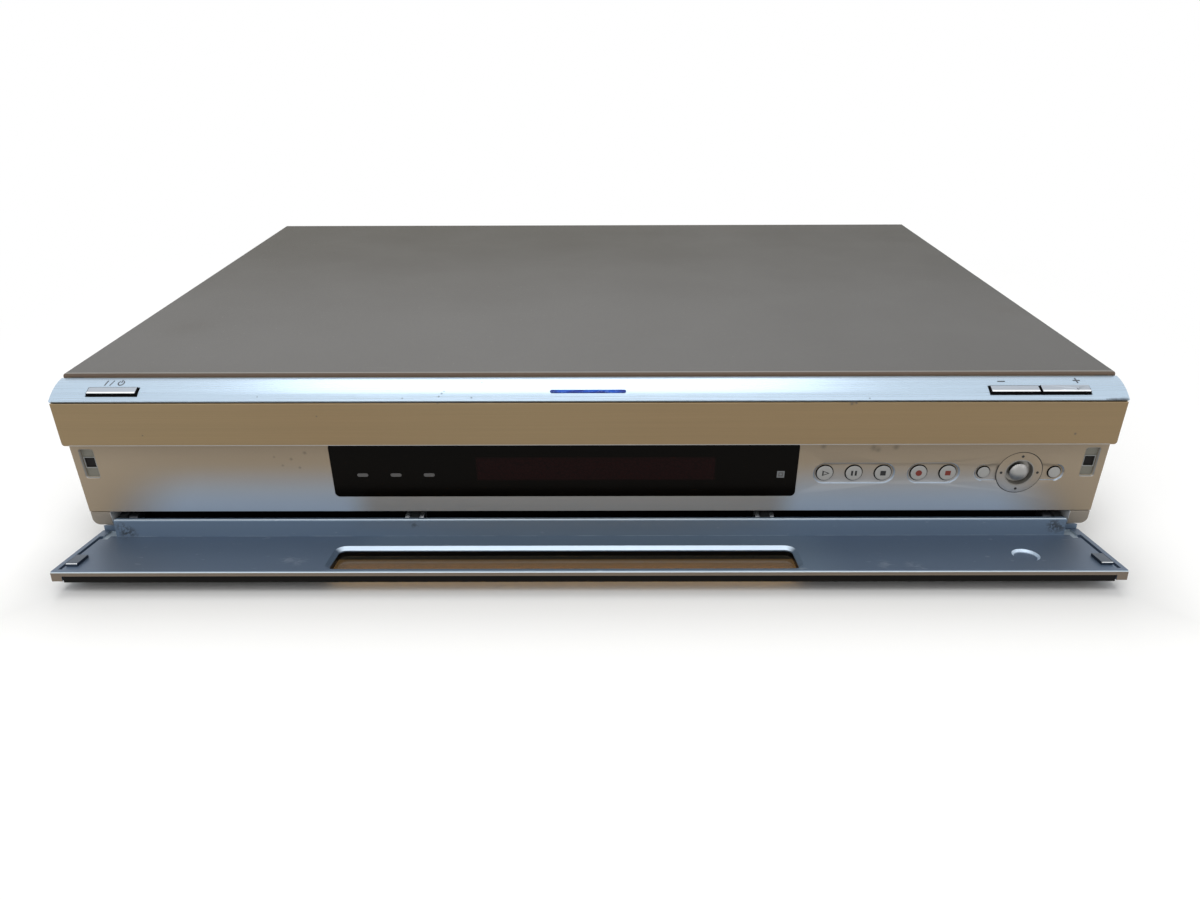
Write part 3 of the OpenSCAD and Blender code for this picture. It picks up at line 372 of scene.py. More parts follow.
def cover_finish():
    """Satin paint on bent steel: fine texture, dust, scuffs and smudges, a painted highlight on the bend and
    a painted warm reflection on the lip.
    """
    f = Finish("cover_paint", specular=0.22)
    low, high = COVER_LOW, COVER_HIGH
    depth, up = f.axis("Y"), f.axis("Z")
    grain = f.noise(0.32, 3.0, 0.6)
    flow = f.noise(60.0, 3.0)
    # Painted shade darkens the paint towards the rear; the paint is also darker towards the right.
    base = f.mix(f.fade(depth, low.y, high.y), srgb(95, 94, 92), srgb(60, 57, 49))
    base = f.tint(f.tint(f.tint(base, grain, 0.10), f.noise(1.1, 2.0), 0.06), flow, 0.05)
    base = f.mix(f.fade(f.axis("X"), -100 * MM, 200 * MM, 0.0, 0.3), base, srgb(72, 72, 71))
    dust = f.fall(f.cells(5.5), 0.035, 0.055)
    base = f.cover(base, dust, 0.3, srgb(172, 170, 164))
    scuff = f.fade(f.noise((22.0, 0.5, 4.0), 1.0), 0.74, 0.80)
    base = f.cover(base, scuff, 0.12, srgb(160, 159, 155))
    for x, back in ((-140, 265), (-188, 70), (95, 270), (206, 95)):
        base = f.cover(base, f.near(at(x, back, 7.0), 11.0, 9.0), 0.25, srgb(70, 66, 58))
    # Painted reflection: the lip under the front edge is warm brown.
    lip = f.fall(depth, low.y + 0.1 * MM, low.y + 0.3 * MM)
    base = f.mix(lip, base, f.tint(srgb(115, 98, 84), grain, 0.06))
    # Painted highlight: a pale band along the bend at the top of the front edge.
    bend = f.all_of(f.fall(depth, low.y + 0.35 * MM, low.y + 0.6 * MM),
                    f.fade(up, high.z - 0.40 * MM, high.z - 0.20 * MM))
    base = f.cover(base, bend, 0.7, srgb(156, 153, 148))
    f.bump(grain, 0.05)
    return f.done(base, f.calc("MULTIPLY_ADD", flow, 0.16, 0.44))


FASCIA_GRIME = ((118, -23, 1.5), (120, -24, 1.2), (127, -23, 1.3), (97, -22.5, 1.2), (-118, -25, 0.8),
                (-124, -28, 0.7), (-128, -31, 0.6), (-121, -32, 0.6), (-131, -27, 0.5))


def fascia_finish():
    """Silver lacquer with a fine flake and grime.

    Its warm tone under the visor and at both ends and its cool tone below are painted reflection; the pale
    recess rims are painted highlights and the corner blocks' pale inner walls painted light.
    """
    f = Finish("fascia_silver", 0.35)
    flake = f.noise(0.30, 2.0, 0.7)
    broad = f.noise((90.0, 20.0, 20.0), 2.0)
    side, depth, drop = f.axis("X"), f.axis("Y"), f.axis("Z")
    across = f.calc("ABSOLUTE", side)
    top, low = at(0, 0, -VISOR_H).z, at(0, 0, -VISOR_H - FASCIA_H).z

    def behind(mm):
        return at(0, FASCIA_BACK + mm, 0).y

    # Painted reflection: warm towards the visor and cool below, bluish outside the middle.
    warm = srgb(147, 132, 111)
    cool = f.mix(f.span(side, -98, 84, 8), srgb(162, 177, 194), srgb(143, 145, 146))
    base = f.mix(f.fade(drop, low + 1 * MM, top - 8 * MM), cool, warm)
    # More painted warm reflection towards both ends.
    slant = f.calc("MULTIPLY_ADD", f.calc("SUBTRACT", drop, low), 0.6, across)
    base = f.mix(f.fade(slant, 172 * MM, 212 * MM), base, warm)
    base = f.tint(f.tint(base, flake, 0.08), broad, 0.04)
    pills = f.all_of(f.span(side, KEYS_LEFT, KEYS_RIGHT, 0.5),
                     f.between(drop, at(0, 0, KEY_Z - 7).z, at(0, 0, KEY_Z + 7).z, 0.2 * MM),
                     f.fade(f.distance(at(STICK_X, FASCIA_BACK, STICK_Z)), 10.0 * MM, 10.2 * MM))
    # Painted highlights: the bevelled rims of the key and catch recesses are paler.
    rim_highlights = f.all_of(f.calc("MAXIMUM", pills, f.span(across, CATCH_X - 3.7, CATCH_X + 3.7, 0.1)),
                    f.between(depth, behind(0.06), behind(0.74), 0.03 * MM))
    edge = f.mix(f.fade(across, 200 * MM, 204 * MM), srgb(160, 172, 186), srgb(152, 150, 145))
    base = f.mix(rim_highlights, base, f.tint(edge, flake, 0.05))
    recess = f.all_of(f.span(across, CATCH_X - 2.7, CATCH_X + 2.7, 0.03),
                      f.fade(depth, behind(1.0), behind(1.1)))
    base = f.mix(recess, base, f.tint(srgb(112, 110, 100), flake, 0.06))
    block = f.fall(drop, low - 0.3 * MM, low - 0.1 * MM)
    base = f.mix(block, base, f.tint(srgb(135, 127, 116), flake, 0.06))
    # Painted light: the corner blocks' inner side walls are nearly white.
    inner = f.all_of(f.span(across, 206.4, 206.6, 0.05), block)
    base = f.mix(inner, base, f.tint(srgb(214, 217, 219), flake, 0.05))
    for x, up, radius in FASCIA_GRIME:
        smear = f.near(at(x, FASCIA_BACK, up), radius, radius * 0.6)
        base = f.cover(base, smear, 0.5, srgb(74, 68, 57))
    f.bump(flake, 0.012)
    return f.done(base, f.calc("MULTIPLY_ADD", broad, 0.14, 0.36))


DOOR_GRIME = ((-201.0, 6.0, 3.2), (-198.0, 5.6, 1.8), (-203.0, 8.0, 2.0), (200.5, 8.3, 3.2),
              (203.5, 7.0, 2.0), (-76.0, 9.0, 1.2))
DOOR_RUBS = ((120.0, -26.5), (131.0, -26.0), (-118.0, -30.0), (-124.0, -31.5))


def door_finish():
    """The door's blue-grey lacquer with grime, marks and rubs. Its bright edges are painted highlights, the
    dark hinge arms painted shade, the pale pockets painted light and the tan front face a painted reflection.

    The masks are drawn in the closed door's place, so the coordinates are first turned back by the rest
    angle.
    """
    f = Finish("door_silver", 0.35)
    turn = f.node("ShaderNodeVectorRotate", rotation_type="X_AXIS")
    f.feed(turn.inputs["Vector"], f.place)
    turn.inputs["Center"].default_value = at(0, HINGE_BACK, HINGE_Z)
    turn.inputs["Angle"].default_value = -DOOR_OPEN
    f.place = turn.outputs["Vector"]
    flake = f.noise(0.30, 2.0, 0.7)
    broad = f.noise((120.0, 25.0, 25.0), 2.0)
    side, back, up = f.axis("X"), f.axis("Y"), f.axis("Z")
    across = f.calc("ABSOLUTE", side)
    crisp = 0.02

    def behind(mm):
        return f.fade(back, at(0, mm - crisp, 0).y, at(0, mm + crisp, 0).y)

    def before(mm):
        return f.calc("SUBTRACT", 1.0, behind(mm))

    def above(mm, soft=crisp):
        return f.fade(up, at(0, 0, mm - soft).z, at(0, 0, mm + soft).z)

    def below(mm, soft=crisp):
        return f.calc("SUBTRACT", 1.0, above(mm, soft))

    panel = f.mix(f.fall(across, 85 * MM, 110 * MM), srgb(90, 106, 126), srgb(102, 119, 137))
    flange = f.mix(f.fade(across, 30 * MM, 110 * MM, 0.7, 0.0), srgb(107, 126, 147), srgb(107, 119, 131))
    base = f.mix(behind(DOOR_IN + 0.05), panel, flange)
    base = f.tint(f.tint(base, flake, 0.08), broad, 0.05)
    # Painted shade: the hinge arms, down in the slot under the fascia, are dark.
    arms = f.all_of(behind(5.8), below(FLANGE_TOP - 2.05))
    base = f.mix(arms, base, f.tint(srgb(60, 62, 64), flake, 0.06))
    # Painted light: the pockets at the flange's ends are pale.
    pocket = f.all_of(f.span(across, 205.6, 211.7, 0.05), before(DOOR_IN - 0.1), behind(DOOR_IN - 1.0),
                      below(FLANGE_TOP + 2.7))
    base = f.mix(pocket, base, f.tint(srgb(168, 182, 193), flake, 0.05))
    for x, depth, radius in DOOR_GRIME:
        blotch = f.all_of(f.near(at(x, depth, FLANGE_TOP), radius, 1.8),
                          f.fade(f.noise(1.1, 3.0), 0.40, 0.56))
        base = f.cover(base, blotch, 0.8, srgb(46, 43, 38))
    mark = f.fade(f.noise((6.0, 2.0, 2.0), 2.0), 0.70, 0.76)
    base = f.cover(base, mark, 0.16, srgb(190, 198, 206))
    for x, height in DOOR_RUBS:
        rub = f.all_of(f.near(at(x, DOOR_IN, height), 3.0, 2.0),
                       f.fade(f.noise((2.4, 0.7, 0.7), 2.0), 0.45, 0.6))
        base = f.cover(base, rub, 0.3, srgb(176, 186, 196))
    # Painted highlights: bright on the window's lower slope and the finger dish, pale lines on the crease,
    # the flange tip and the front rim.
    bright = f.tint(srgb(202, 220, 238), flake, 0.05)
    line = f.tint(srgb(178, 191, 199), flake, 0.05)
    crease = f.all_of(behind(DOOR_IN + 0.05), before(DOOR_IN + 0.3), above(FLANGE_TOP - 0.2),
                      f.fade(f.noise((9.0, 2.0, 2.0), 2.0), 0.35, 0.6))
    base = f.cover(base, crease, 0.3, line)
    slope = f.all_of(f.span(side, WINDOW_LEFT - 1.7, WINDOW_RIGHT + 1.7, crisp), above(WINDOW_BOTTOM - 1.7),
                     below(WINDOW_BOTTOM + 1.4, 1.2), before(DOOR_IN - 0.06), behind(DOOR_IN - 1.48))
    dish = f.all_of(f.span(f.distance(at(STICK_X, DOOR_IN, STICK_Z)), 4.6, 5.8, 0.2), before(DOOR_IN - 0.06),
                    behind(DOOR_IN - 1.28))
    tip = f.all_of(behind(FLANGE_TIP - 0.30), above(FLANGE_TOP - 0.58))
    rim = f.all_of(above(DOOR_TOP - 0.34), behind(DOOR_IN - 0.58))
    for mask, colour in ((slope, bright), (dish, bright), (tip, line), (rim, line)):
        base = f.mix(mask, base, colour)
    # Painted reflection: the door's front face is warm tan.
    base = f.mix(above(DOOR_TOP - 0.03), base, f.tint(srgb(113, 101, 88), flake, 0.06))
    f.bump(flake, 0.012)
    return f.done(base, f.calc("MULTIPLY_ADD", broad, 0.14, 0.36))


def display_finish():
    """Smoked display window: nearly black, with the tube's dull red field behind it."""
    f = Finish("display_smoke", specular=0.05)
    field = f.all_of(f.span(f.axis("X"), -47.0, 52.7, 0.6),
                     f.between(f.axis("Z"), at(0, 0, -38.1).z, at(0, 0, -27.6).z, 0.6 * MM))
    dots = f.fade(f.cells(1.6, "DISTANCE_TO_EDGE"), 0.02, 0.12)
    glow = f.mix(dots, srgb(17, 6, 6), srgb(26, 8, 8))
    base = f.mix(field, f.tint(srgb(6, 4, 2), f.noise(20.0), 0.15), glow)
    return f.done(base, f.calc("MULTIPLY_ADD", f.noise(9.0, 4.0), 0.10, 0.10))


def light_finish():
    """Deep blue light guide with paler specks in it."""
    f = Finish("light_blue", specular=0.12)
    specks = f.fade(f.noise((0.9, 0.4, 0.4), 2.0), 0.60, 0.70)
    body = f.mix(f.fade(f.noise((8.0, 2.0, 2.0), 2.0), 0.4, 0.65), srgb(6, 34, 124), srgb(18, 78, 186))
    base = f.cover(body, specks, 0.6, srgb(138, 182, 224))
    f.bump(specks, 0.02)
    return f.done(base, f.calc("MULTIPLY_ADD", specks, 0.15, 0.25))


def smoked_finish():
    """Brown see-through acrylic of the door's window, with a dark band of painted shade along its hinge side.
    """
    f = Finish("smoked_window")
    f.bsdf.inputs["Transmission Weight"].default_value = 1.0
    f.bsdf.inputs["IOR"].default_value = 1.45
    base = f.tint(srgb(176, 142, 94), f.noise(60.0, 1.0), 0.02)
    # Painted shade: the pane turns dark grey along its hinge side.
    clear, dark = (on_door(0, PLATE_OUT, WINDOW_BOTTOM + mm).y for mm in (3.4, 2.4))
    base = f.mix(f.fade(f.axis("Y"), clear, dark), base, srgb(72, 70, 62))
    return f.done(base, f.calc("MULTIPLY_ADD", f.noise(25.0, 1.0), 0.02, 0.02))


def bracket_finish():
    """Plated steel of the hinge brackets, with painted shade making the outer ones dark and painted light
    making the two inner ones brighter.
    """
    f = Finish("bracket_steel", 0.8)
    # Painted light and shade: the same steel is light on the inner brackets and dark on the outer ones.
    outer = f.fade(f.calc("ABSOLUTE", f.axis("X")), 100 * MM, 120 * MM)
    base = f.mix(outer, srgb(150, 154, 158), srgb(72, 75, 80))
    f.bump(f.noise((3.0, 0.3, 0.3), 2.0), 0.006)
    return f.done(f.tint(base, f.noise(2.0, 3.0), 0.08), f.calc("MULTIPLY_ADD", f.noise(6.0, 4.0), 0.2, 0.35))


STRIP_SPECKS = ((-58.5, 3.4, 0.45), (-59.5, 2.0, 0.4), (-57.6, 4.4, 0.35), (-46.4, 1.5, 0.5),
                (-43.0, 9.5, 0.35), (-74.0, 1.2, 0.35), (-132.0, 2.0, 0.35), (112.0, 0.8, 0.4))
VISOR_SPECKS = ((105.0, -1.6, 0.7), (106.8, -1.2, 0.5), (-109.0, -6.6, 0.35), (-181.0, -15.0, 0.3),
                (197.0, -15.0, 0.5), (-60.0, -1.0, 0.4))
STRIP_WEAR = [(at(206.0 + 0.9 * i, 0.2, 0.0), 0.55 + 0.03 * i) for i in range(10)]
STRIP_WEAR += [(on_strip(x, s, 0), r) for x, s, r in STRIP_SPECKS]
VISOR_WEAR = [(at(x, 0, z), r) for x, z, r in VISOR_SPECKS]
finishes = {
    "cover_paint": cover_finish(),
    "strip_silver": brushed("strip_silver", srgb(180, 199, 216), rough=0.28, metallic=0.6, streak=0.12,
                            grime=STRIP_WEAR),
    # The visor's champagne tan and its warm patches are a painted reflection of warm surroundings on silver
    # trim.
    "visor_champagne": brushed("visor_champagne", srgb(137, 117, 85), rough=0.38, metallic=0.45, streak=0.15,
                               warm=srgb(136, 115, 83), grime=VISOR_WEAR),
    "fascia_silver": fascia_finish(),
    "door_silver": door_finish(),
    "smoked_plate": painted("smoked_plate", srgb(9, 7, 6), rough=0.2, grain=2.0, depth=0.002, vary=0.12,
                            specular=0.1),
    "display_smoke": display_finish(),
    "lens_grey": painted("lens_grey", srgb(86, 85, 84), rough=0.35, grain=0.5, depth=0.004, vary=0.1,
                         specular=0.3),
    "light_blue": light_finish(),
    "black_plastic": painted("black_plastic", srgb(26, 26, 27), grain=0.25, vary=0.12),
    "pad_rubber": painted("pad_rubber", srgb(38, 38, 38), rough=0.8, depth=0.08, vary=0.15),
    "zinc_steel": bare_metal("zinc_steel", srgb(152, 155, 156), rough=0.40, spangle=7.0),
    "screw_steel": bare_metal("screw_steel", srgb(120, 120, 118), rough=0.35, spangle=0.8),
    "stick_metal": bare_metal("stick_metal", srgb(152, 151, 149), rough=0.42, spangle=0.9, vary=0.04,
                              metallic=0.8),
    "strike_steel": bare_metal("strike_steel", srgb(82, 91, 102), rough=0.34, spangle=1.5),
    "magnet_ferrite": painted("magnet_ferrite", srgb(15, 12, 11), rough=0.6, grain=0.5, vary=0.2,
                              specular=0.2),
    "board_green": circuit("board_green", srgb(28, 84, 46), track=srgb(44, 112, 62)),
    "board_brown": circuit("board_brown", srgb(150, 108, 62), track=srgb(176, 134, 82)),
    "tube_glass": painted("tube_glass", srgb(40, 46, 54), rough=0.12, grain=3.0, depth=0.002, vary=0.12),
    "component_mix": painted("component_mix", srgb(38, 38, 42), rough=0.45, grain=3.0, depth=0.05, vary=0.3),
    "bare_aluminium": bare_metal("bare_aluminium", srgb(188, 190, 192), rough=0.36, spangle=3.0),
    "mirror_disc": bare_metal("mirror_disc", srgb(214, 216, 218), rough=0.06, spangle=40.0, vary=0.02),
    "nickel": bare_metal("nickel", srgb(190, 186, 178), rough=0.25, spangle=1.2, vary=0.05),
    "gold_plate": bare_metal("gold_plate", srgb(206, 172, 96), rough=0.28, spangle=1.2, vary=0.06),
    "cable_grey": painted("cable_grey", srgb(170, 170, 166), grain=0.8, depth=0.04, vary=0.1),
}
slot_of = {part["node"]: part["material_slot"] for part in frame["record"]["subparts"]}


def wear(obj, mat):
    """Gives a CAD node its finish."""
    obj.data.materials.clear()
    obj.data.materials.append(mat)


for name, obj in nodes.items():
    wear(obj, finishes[slot_of[name]])
wear(nodes["hinge_brackets"], bracket_finish())
wear(nodes["hinge_pins"], bare_metal("dark_steel", srgb(72, 75, 80), rough=0.45, spangle=3.0))
wear(nodes["stick_collar"], bare_metal("collar_metal", srgb(146, 143, 137), rough=0.4, spangle=0.9, vary=0.05,
                                       metallic=0.7))
# The strip keys' nearly white front edges are a painted highlight.
strip_key_finish = brushed("strip_key_silver", srgb(168, 176, 186), rough=0.34, metallic=0.6, streak=0.15,
                           pale=at(0, 2.7, 0).y)
button_finish = painted("button_silver", srgb(156, 155, 152), rough=0.36, metallic=0.35, grain=0.3,
                        depth=0.012, vary=0.06)
# Near-white steel that stands for a painted highlight on the door strikes.
strike_highlight = bare_metal("strike_highlight", srgb(226, 230, 232), spangle=1.5, vary=0.04)
# Near-black painted shade for the gaps round keys, the slot under the fascia and the keys' sides.
shade_black = painted("shade_black", srgb(7, 7, 8), rough=0.8, grain=0.5, depth=0.02, vary=0.15, specular=0.05)

# Pieces

# Distances in metres and angles that decide what a mesh's points and edges are
WELD, TINY, TOUCH = 2e-6, 1e-6, 1e-5
FLAT, SHARP, SMOOTH, STEEP = math.radians(0.5), math.radians(28), math.radians(30), 1.2


def piece(name, bm, mats, body):
    """Makes a mesh piece that rides on a body and wears the finishes it is given."""
    mesh = bpy.data.meshes.new(name)
    bmesh.ops.recalc_face_normals(bm, faces=bm.faces)
    if bm.calc_volume(signed=True) < 0:
        bmesh.ops.reverse_faces(bm, faces=bm.faces)
    bm.to_mesh(mesh)
    bm.free()
    for face in mesh.polygons:
        face.use_smooth = True
    mesh.set_sharp_from_angle(angle=SMOOTH)
    obj = bpy.data.objects.new(name, mesh)
    scene.collection.objects.link(obj)
    for mat in mats if isinstance(mats, list) else [mats]:
        mesh.materials.append(mat)
    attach(obj, body)
    return obj


def soften(name, width, where=None, segments=2, least=0.0, mats=None, side=None):
    """A copy of a CAD node whose sharp edges are rounded, standing for the node.

    where tells which points an edge may have, and least is the shortest edge in millimetres. mats are the
    finishes, and side tells from a face's direction which of them it wears.
    """
    bm = bmesh.new()
    bm.from_mesh(nodes[name].data)
    bmesh.ops.remove_doubles(bm, verts=bm.verts, dist=WELD)
    bmesh.ops.dissolve_limit(bm, angle_limit=FLAT, verts=bm.verts, edges=bm.edges)
    sharp = []
    for edge in bm.edges:
        if len(edge.link_faces) != 2 or edge.calc_face_angle() < SHARP:
            continue
        if edge.calc_length() < least * MM:
            continue
        if where is None or all(where(v.co) for v in edge.verts):
            sharp.append(edge)
    bmesh.ops.bevel(bm, geom=sharp, offset=width * MM, offset_type="OFFSET", segments=segments, profile=0.5,
                    affect="EDGES", clamp_overlap=False, loop_slide=True)
    bmesh.ops.remove_doubles(bm, verts=bm.verts, dist=TINY)
    bmesh.ops.dissolve_degenerate(bm, dist=TINY, edges=bm.edges)
    bmesh.ops.triangulate(bm, faces=[f for f in bm.faces if len(f.verts) > 4])
    for face in bm.faces:
        face.normal_update()
        face.material_index = side(face.normal) if side else 0
    obj = piece(name + "_finish", bm, mats or finishes[slot_of[name]], body_of[name])
    even = obj.modifiers.new("even", "WEIGHTED_NORMAL")
    even.keep_sharp = True
    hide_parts(name)
    return obj


def slab(bm, outline, lift):
    """A thin solid between an outline of points and the same outline lifted by a vector."""
    low = [bm.verts.new(p) for p in outline]
    high = [bm.verts.new(p + lift) for p in outline]
    count = len(outline)
    bm.faces.new(low)
    bm.faces.new(list(reversed(high)))
    for i in range(count):
        j = (i + 1) % count
        bm.faces.new((low[i], low[j], high[j], high[i]))


def ring(bm, inner, outer, lift):
    """A thin flat ring between two closed outlines of the same count; gives its outer points."""
    count = len(inner)
    low_in = [bm.verts.new(p) for p in inner]
    low_out = [bm.verts.new(p) for p in outer]
    high_in = [bm.verts.new(p + lift) for p in inner]
    high_out = [bm.verts.new(p + lift) for p in outer]
    for i in range(count):
        j = (i + 1) % count
        bm.faces.new((low_in[i], low_in[j], low_out[j], low_out[i]))
        bm.faces.new((high_in[i], high_out[i], high_out[j], high_in[j]))
        bm.faces.new((low_out[i], low_out[j], high_out[j], high_out[i]))
        bm.faces.new((low_in[i], high_in[i], high_in[j], low_in[j]))
    return low_out + high_out


def arc(x, z, r, start, end, count):
    """Points across and up along an arc, with angles in degrees."""
    turns = [math.radians(start + (end - start) * i / count) for i in range(count + 1)]
    return [(x + r * math.cos(a), z + r * math.sin(a)) for a in turns]


def circle(x, z, r, count):
    """Points across and up round a circle."""
    return arc(x, z, r, 0, 360, count)[:-1]


def rounded(left, bottom, right, top, r, count=6):
    """Points of a rectangle with round corners."""
    return (arc(left + r, bottom + r, r, 180, 270, count) + arc(right - r, bottom + r, r, 270, 360, count)
            + arc(right - r, top - r, r, 0, 90, count) + arc(left + r, top - r, r, 90, 180, count))


def facing(points, back):
    """Points across and up, set on a plane that faces the front."""
    return [at(x, back, z) for x, z in points]


FORWARD = Vector((0, -1, 0)) * MM
INK = 0.06
SINK = 0.02
black_ink = ink("black_ink", srgb(12, 12, 13))
red_ink = ink("red_ink", srgb(112, 30, 13))
grey_ink = ink("grey_ink", srgb(62, 68, 78))
pale_ink = ink("pale_ink", srgb(112, 116, 118))


def key_mark(name, shapes, mat, body):
    """Flat inlays on a round key's face, each a list of points across and up."""
    bm = bmesh.new()
    for shape in shapes:
        slab(bm, facing(shape, KEY_FACE + SINK), FORWARD * INK)
    piece(name, bm, mat, body)


def box_shape(x, z, w, h):
    """Points of a rectangle with a centre and half its width and height."""
    return [(x - w, z - h), (x + w, z - h), (x + w, z + h), (x - w, z + h)]


def plus_shape(x, z, wide, tall, half):
    """Points of a plus sign with a centre, the reach of its arms and half their width."""
    return [(x - wide, z - half), (x - half, z - half), (x - half, z - tall), (x + half, z - tall),
            (x + half, z - half), (x + wide, z - half), (x + wide, z + half), (x + half, z + half),
            (x + half, z + tall), (x - half, z + tall), (x - half, z + half), (x - wide, z + half)]


KEY_RADII = {"play_key": 3.4, "pause_key": 3.4, "stop_key": 3.4, "record_key": 3.4, "record_stop_key": 3.4,
             "return_key": 2.5, "menu_key": 2.5}
PLAY_X, PAUSE_X, STOP_X, RECORD_X, RECORD_STOP_X = 99.1, 111.3, 123.5, 138.5, 150.7
key_mark("pause_mark", [box_shape(PAUSE_X + x, KEY_Z, 0.42, 1.15) for x in (-0.8, 0.8)], black_ink,
         "pause_key")
key_mark("stop_mark", [box_shape(STOP_X, KEY_Z, 1.15, 1.1)], black_ink, "stop_key")
key_mark("record_mark", [circle(RECORD_X, KEY_Z, 1.35, 24)], red_ink, "record_key")
key_mark("record_stop_mark", [box_shape(RECORD_STOP_X, KEY_Z, 1.15, 1.1)], red_ink, "record_stop_key")


def play_mark():
    """The outlined arrow on the play key."""
    bm = bmesh.new()
    corners = ((-1.1, -1.3), (2.0, 0.0), (-1.1, 1.3))
    outer = [(PLAY_X + x, KEY_Z + z) for x, z in corners]
    inner = [(PLAY_X + 0.05 + (x + 0.1) * 0.55, KEY_Z + z * 0.55) for x, z in corners]
    ring(bm, facing(inner, KEY_FACE + SINK), facing(outer, KEY_FACE + SINK), FORWARD * INK)
    piece("play_mark", bm, black_ink, "play_key")


def field_shade_and_dots():
    """The dark line round the navigation field, painted shade along its sunken edge, and its four small dots.
    """
    half_line, dots_at = 0.17, 7.6
    bm = bmesh.new()
    inner, outer = (facing(circle(STICK_X, STICK_Z, r, 72), FIELD_FLOOR)
                    for r in (FIELD_R - half_line, FIELD_R + half_line))
    ring(bm, inner, outer, FORWARD * INK)
    for i in range(4):
        x = STICK_X + dots_at * math.cos(i * math.pi / 2)
        z = STICK_Z + dots_at * math.sin(i * math.pi / 2)
        slab(bm, facing(circle(x, z, 0.58, 16), FASCIA_BACK + SINK), FORWARD * INK)
    piece("field_shade_and_dots", bm, black_ink, "case")


def key_gap_shade():
    """Painted shade: thin near-black rings on the recess floor, in the gap round each round key."""
    bm = bmesh.new()
    for name, r in KEY_RADII.items():
        low, high = (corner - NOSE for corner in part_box(name))
        x, z = (low.x + high.x) / 2 / MM, (low.z + high.z) / 2 / MM
        inner, outer = (facing(circle(x, z, r + more, 48), KEY_FLOOR + SINK) for more in (0.06, 0.39))
        ring(bm, inner, outer, FORWARD * INK)
    piece("key_gap_shade", bm, shade_black, "case")


def receiver_mark():
    """A small generic sign on the remote receiver: a pale frame with a dot."""
    bm = bmesh.new()
    x, z, face = 80.6, KEY_Z - 0.5, DISPLAY_FACE + SINK
    inner, outer = (facing(box_shape(x, z, half, half), face) for half in (1.05, 1.5))
    ring(bm, inner, outer, FORWARD * INK)
    slab(bm, facing(circle(x, z, 0.5, 16), face), FORWARD * INK)
    piece("receiver_mark", bm, pale_ink, "case")


STRIP_OUT = Vector((0, -STRIP_RISE, STRIP_RUN)).normalized()


def strip_marks():
    """Marks on the strip: a bar, a stroke and the power sign at the left, minus and plus at the right."""
    bm = bmesh.new()

    def plate(points):
        slab(bm, [on_strip(x, s, -SINK) for x, s in points], STRIP_OUT * MM * INK)

    plate([(-195.3, 8.0), (-194.75, 8.0), (-194.4, 11.2), (-194.95, 11.2)])
    plate([(-193.2, 8.0), (-192.7, 8.0), (-191.9, 11.2), (-192.4, 11.2)])
    plate([(-189.1, 9.9), (-188.6, 9.9), (-188.6, 11.7), (-189.1, 11.7)])
    bow = arc(0, 0, 1.35, 126, 414, 24) + arc(0, 0, 0.9, 414, 126, 24)
    plate([(-188.85 + x, 9.6 + 1.25 * s) for x, s in bow])
    plate(box_shape(166.5, 9.5, 1.5, 0.3))
    plate(plus_shape(196.9, 10.0, 1.4, 1.68, 0.3))
    piece("strip_marks", bm, grey_ink, "case")


def visor_edge_highlight():
    """Painted highlight: a pale line along the visor's lower edge."""
    bm = bmesh.new()
    slab(bm, facing(box_shape(0, -VISOR_H + 0.15, 212.4, 0.14), SINK), FORWARD * INK)
    piece("visor_edge_highlight", bm, ink("visor_edge_ink", srgb(168, 166, 164)), "case")


SLOT_SHADE_SPANS = ((-199.0, -80.4), (-72.2, 72.2), (80.4, 199.0))
SLOT_SHADE_Z, SLOT_SHADE_HALF, SLOT_SHADE_BACK, SLOT_SHADE_THICK = -58.2, 4.7, 13.8, 0.5


def slot_shade():
    """Painted shade: a near-black sheet behind the slot under the fascia, between the hinge brackets."""
    bm = bmesh.new()
    for left, right in SLOT_SHADE_SPANS:
        shape = box_shape((left + right) / 2, SLOT_SHADE_Z, (right - left) / 2, SLOT_SHADE_HALF)
        slab(bm, facing(shape, SLOT_SHADE_BACK), FORWARD * SLOT_SHADE_THICK)
    piece("slot_shade", bm, shade_black, "case")


def catch_highlights():
    """Painted highlights: pale rings round the openings of the two door catches."""
    bm = bmesh.new()
    for x in (-CATCH_X, CATCH_X):
        inner, outer = (facing(box_shape(x, CATCH_Z, half_w, half_h), CATCH_FLOOR + SINK)
                        for half_w, half_h in ((2.12, 2.27), (2.45, 2.6)))
        ring(bm, inner, outer, FORWARD * 0.25)
    piece("catch_highlights", bm, ink("catch_highlight_ink", srgb(150, 152, 150)), "case")


def door_plate_pieces():
    """The door's outer plate: a black glossy frame with a thin smoked pane in its window."""
    pane, gap, bevel = 0.6, 0.03, 0.3
    out = on_door(0, PLATE_OUT, 0) - on_door(0, PLATE_IN, 0)
    hole = rounded(WINDOW_LEFT, WINDOW_BOTTOM, WINDOW_RIGHT, WINDOW_TOP, WINDOW_R)
    edge = rounded(-PLATE_HALF, PLATE_BOTTOM, PLATE_HALF, DOOR_TOP, PLATE_R)
    bm = bmesh.new()
    inner, outer = ([on_door(x, PLATE_IN, z) for x, z in shape] for shape in (hole, edge))
    rim = set(ring(bm, inner, outer, out))
    corners = [e for e in bm.edges if set(e.verts) <= rim and e.calc_face_angle() > STEEP]
    bmesh.ops.bevel(bm, geom=corners, offset=bevel * MM, segments=2, profile=0.5, affect="EDGES")
    plate = piece("door_plate_frame", bm, finishes["smoked_plate"], "door")
    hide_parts("door_plate")
    bm = bmesh.new()
    sheet = rounded(WINDOW_LEFT + gap, WINDOW_BOTTOM + gap, WINDOW_RIGHT - gap, WINDOW_TOP - gap, WINDOW_R)
    slab(bm, [on_door(x, PLATE_OUT + pane, z) for x, z in sheet], out * (pane / (PLATE_IN - PLATE_OUT)))
    window = piece("door_plate_window", bm, smoked_finish(), "door")
    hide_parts("door_plate")


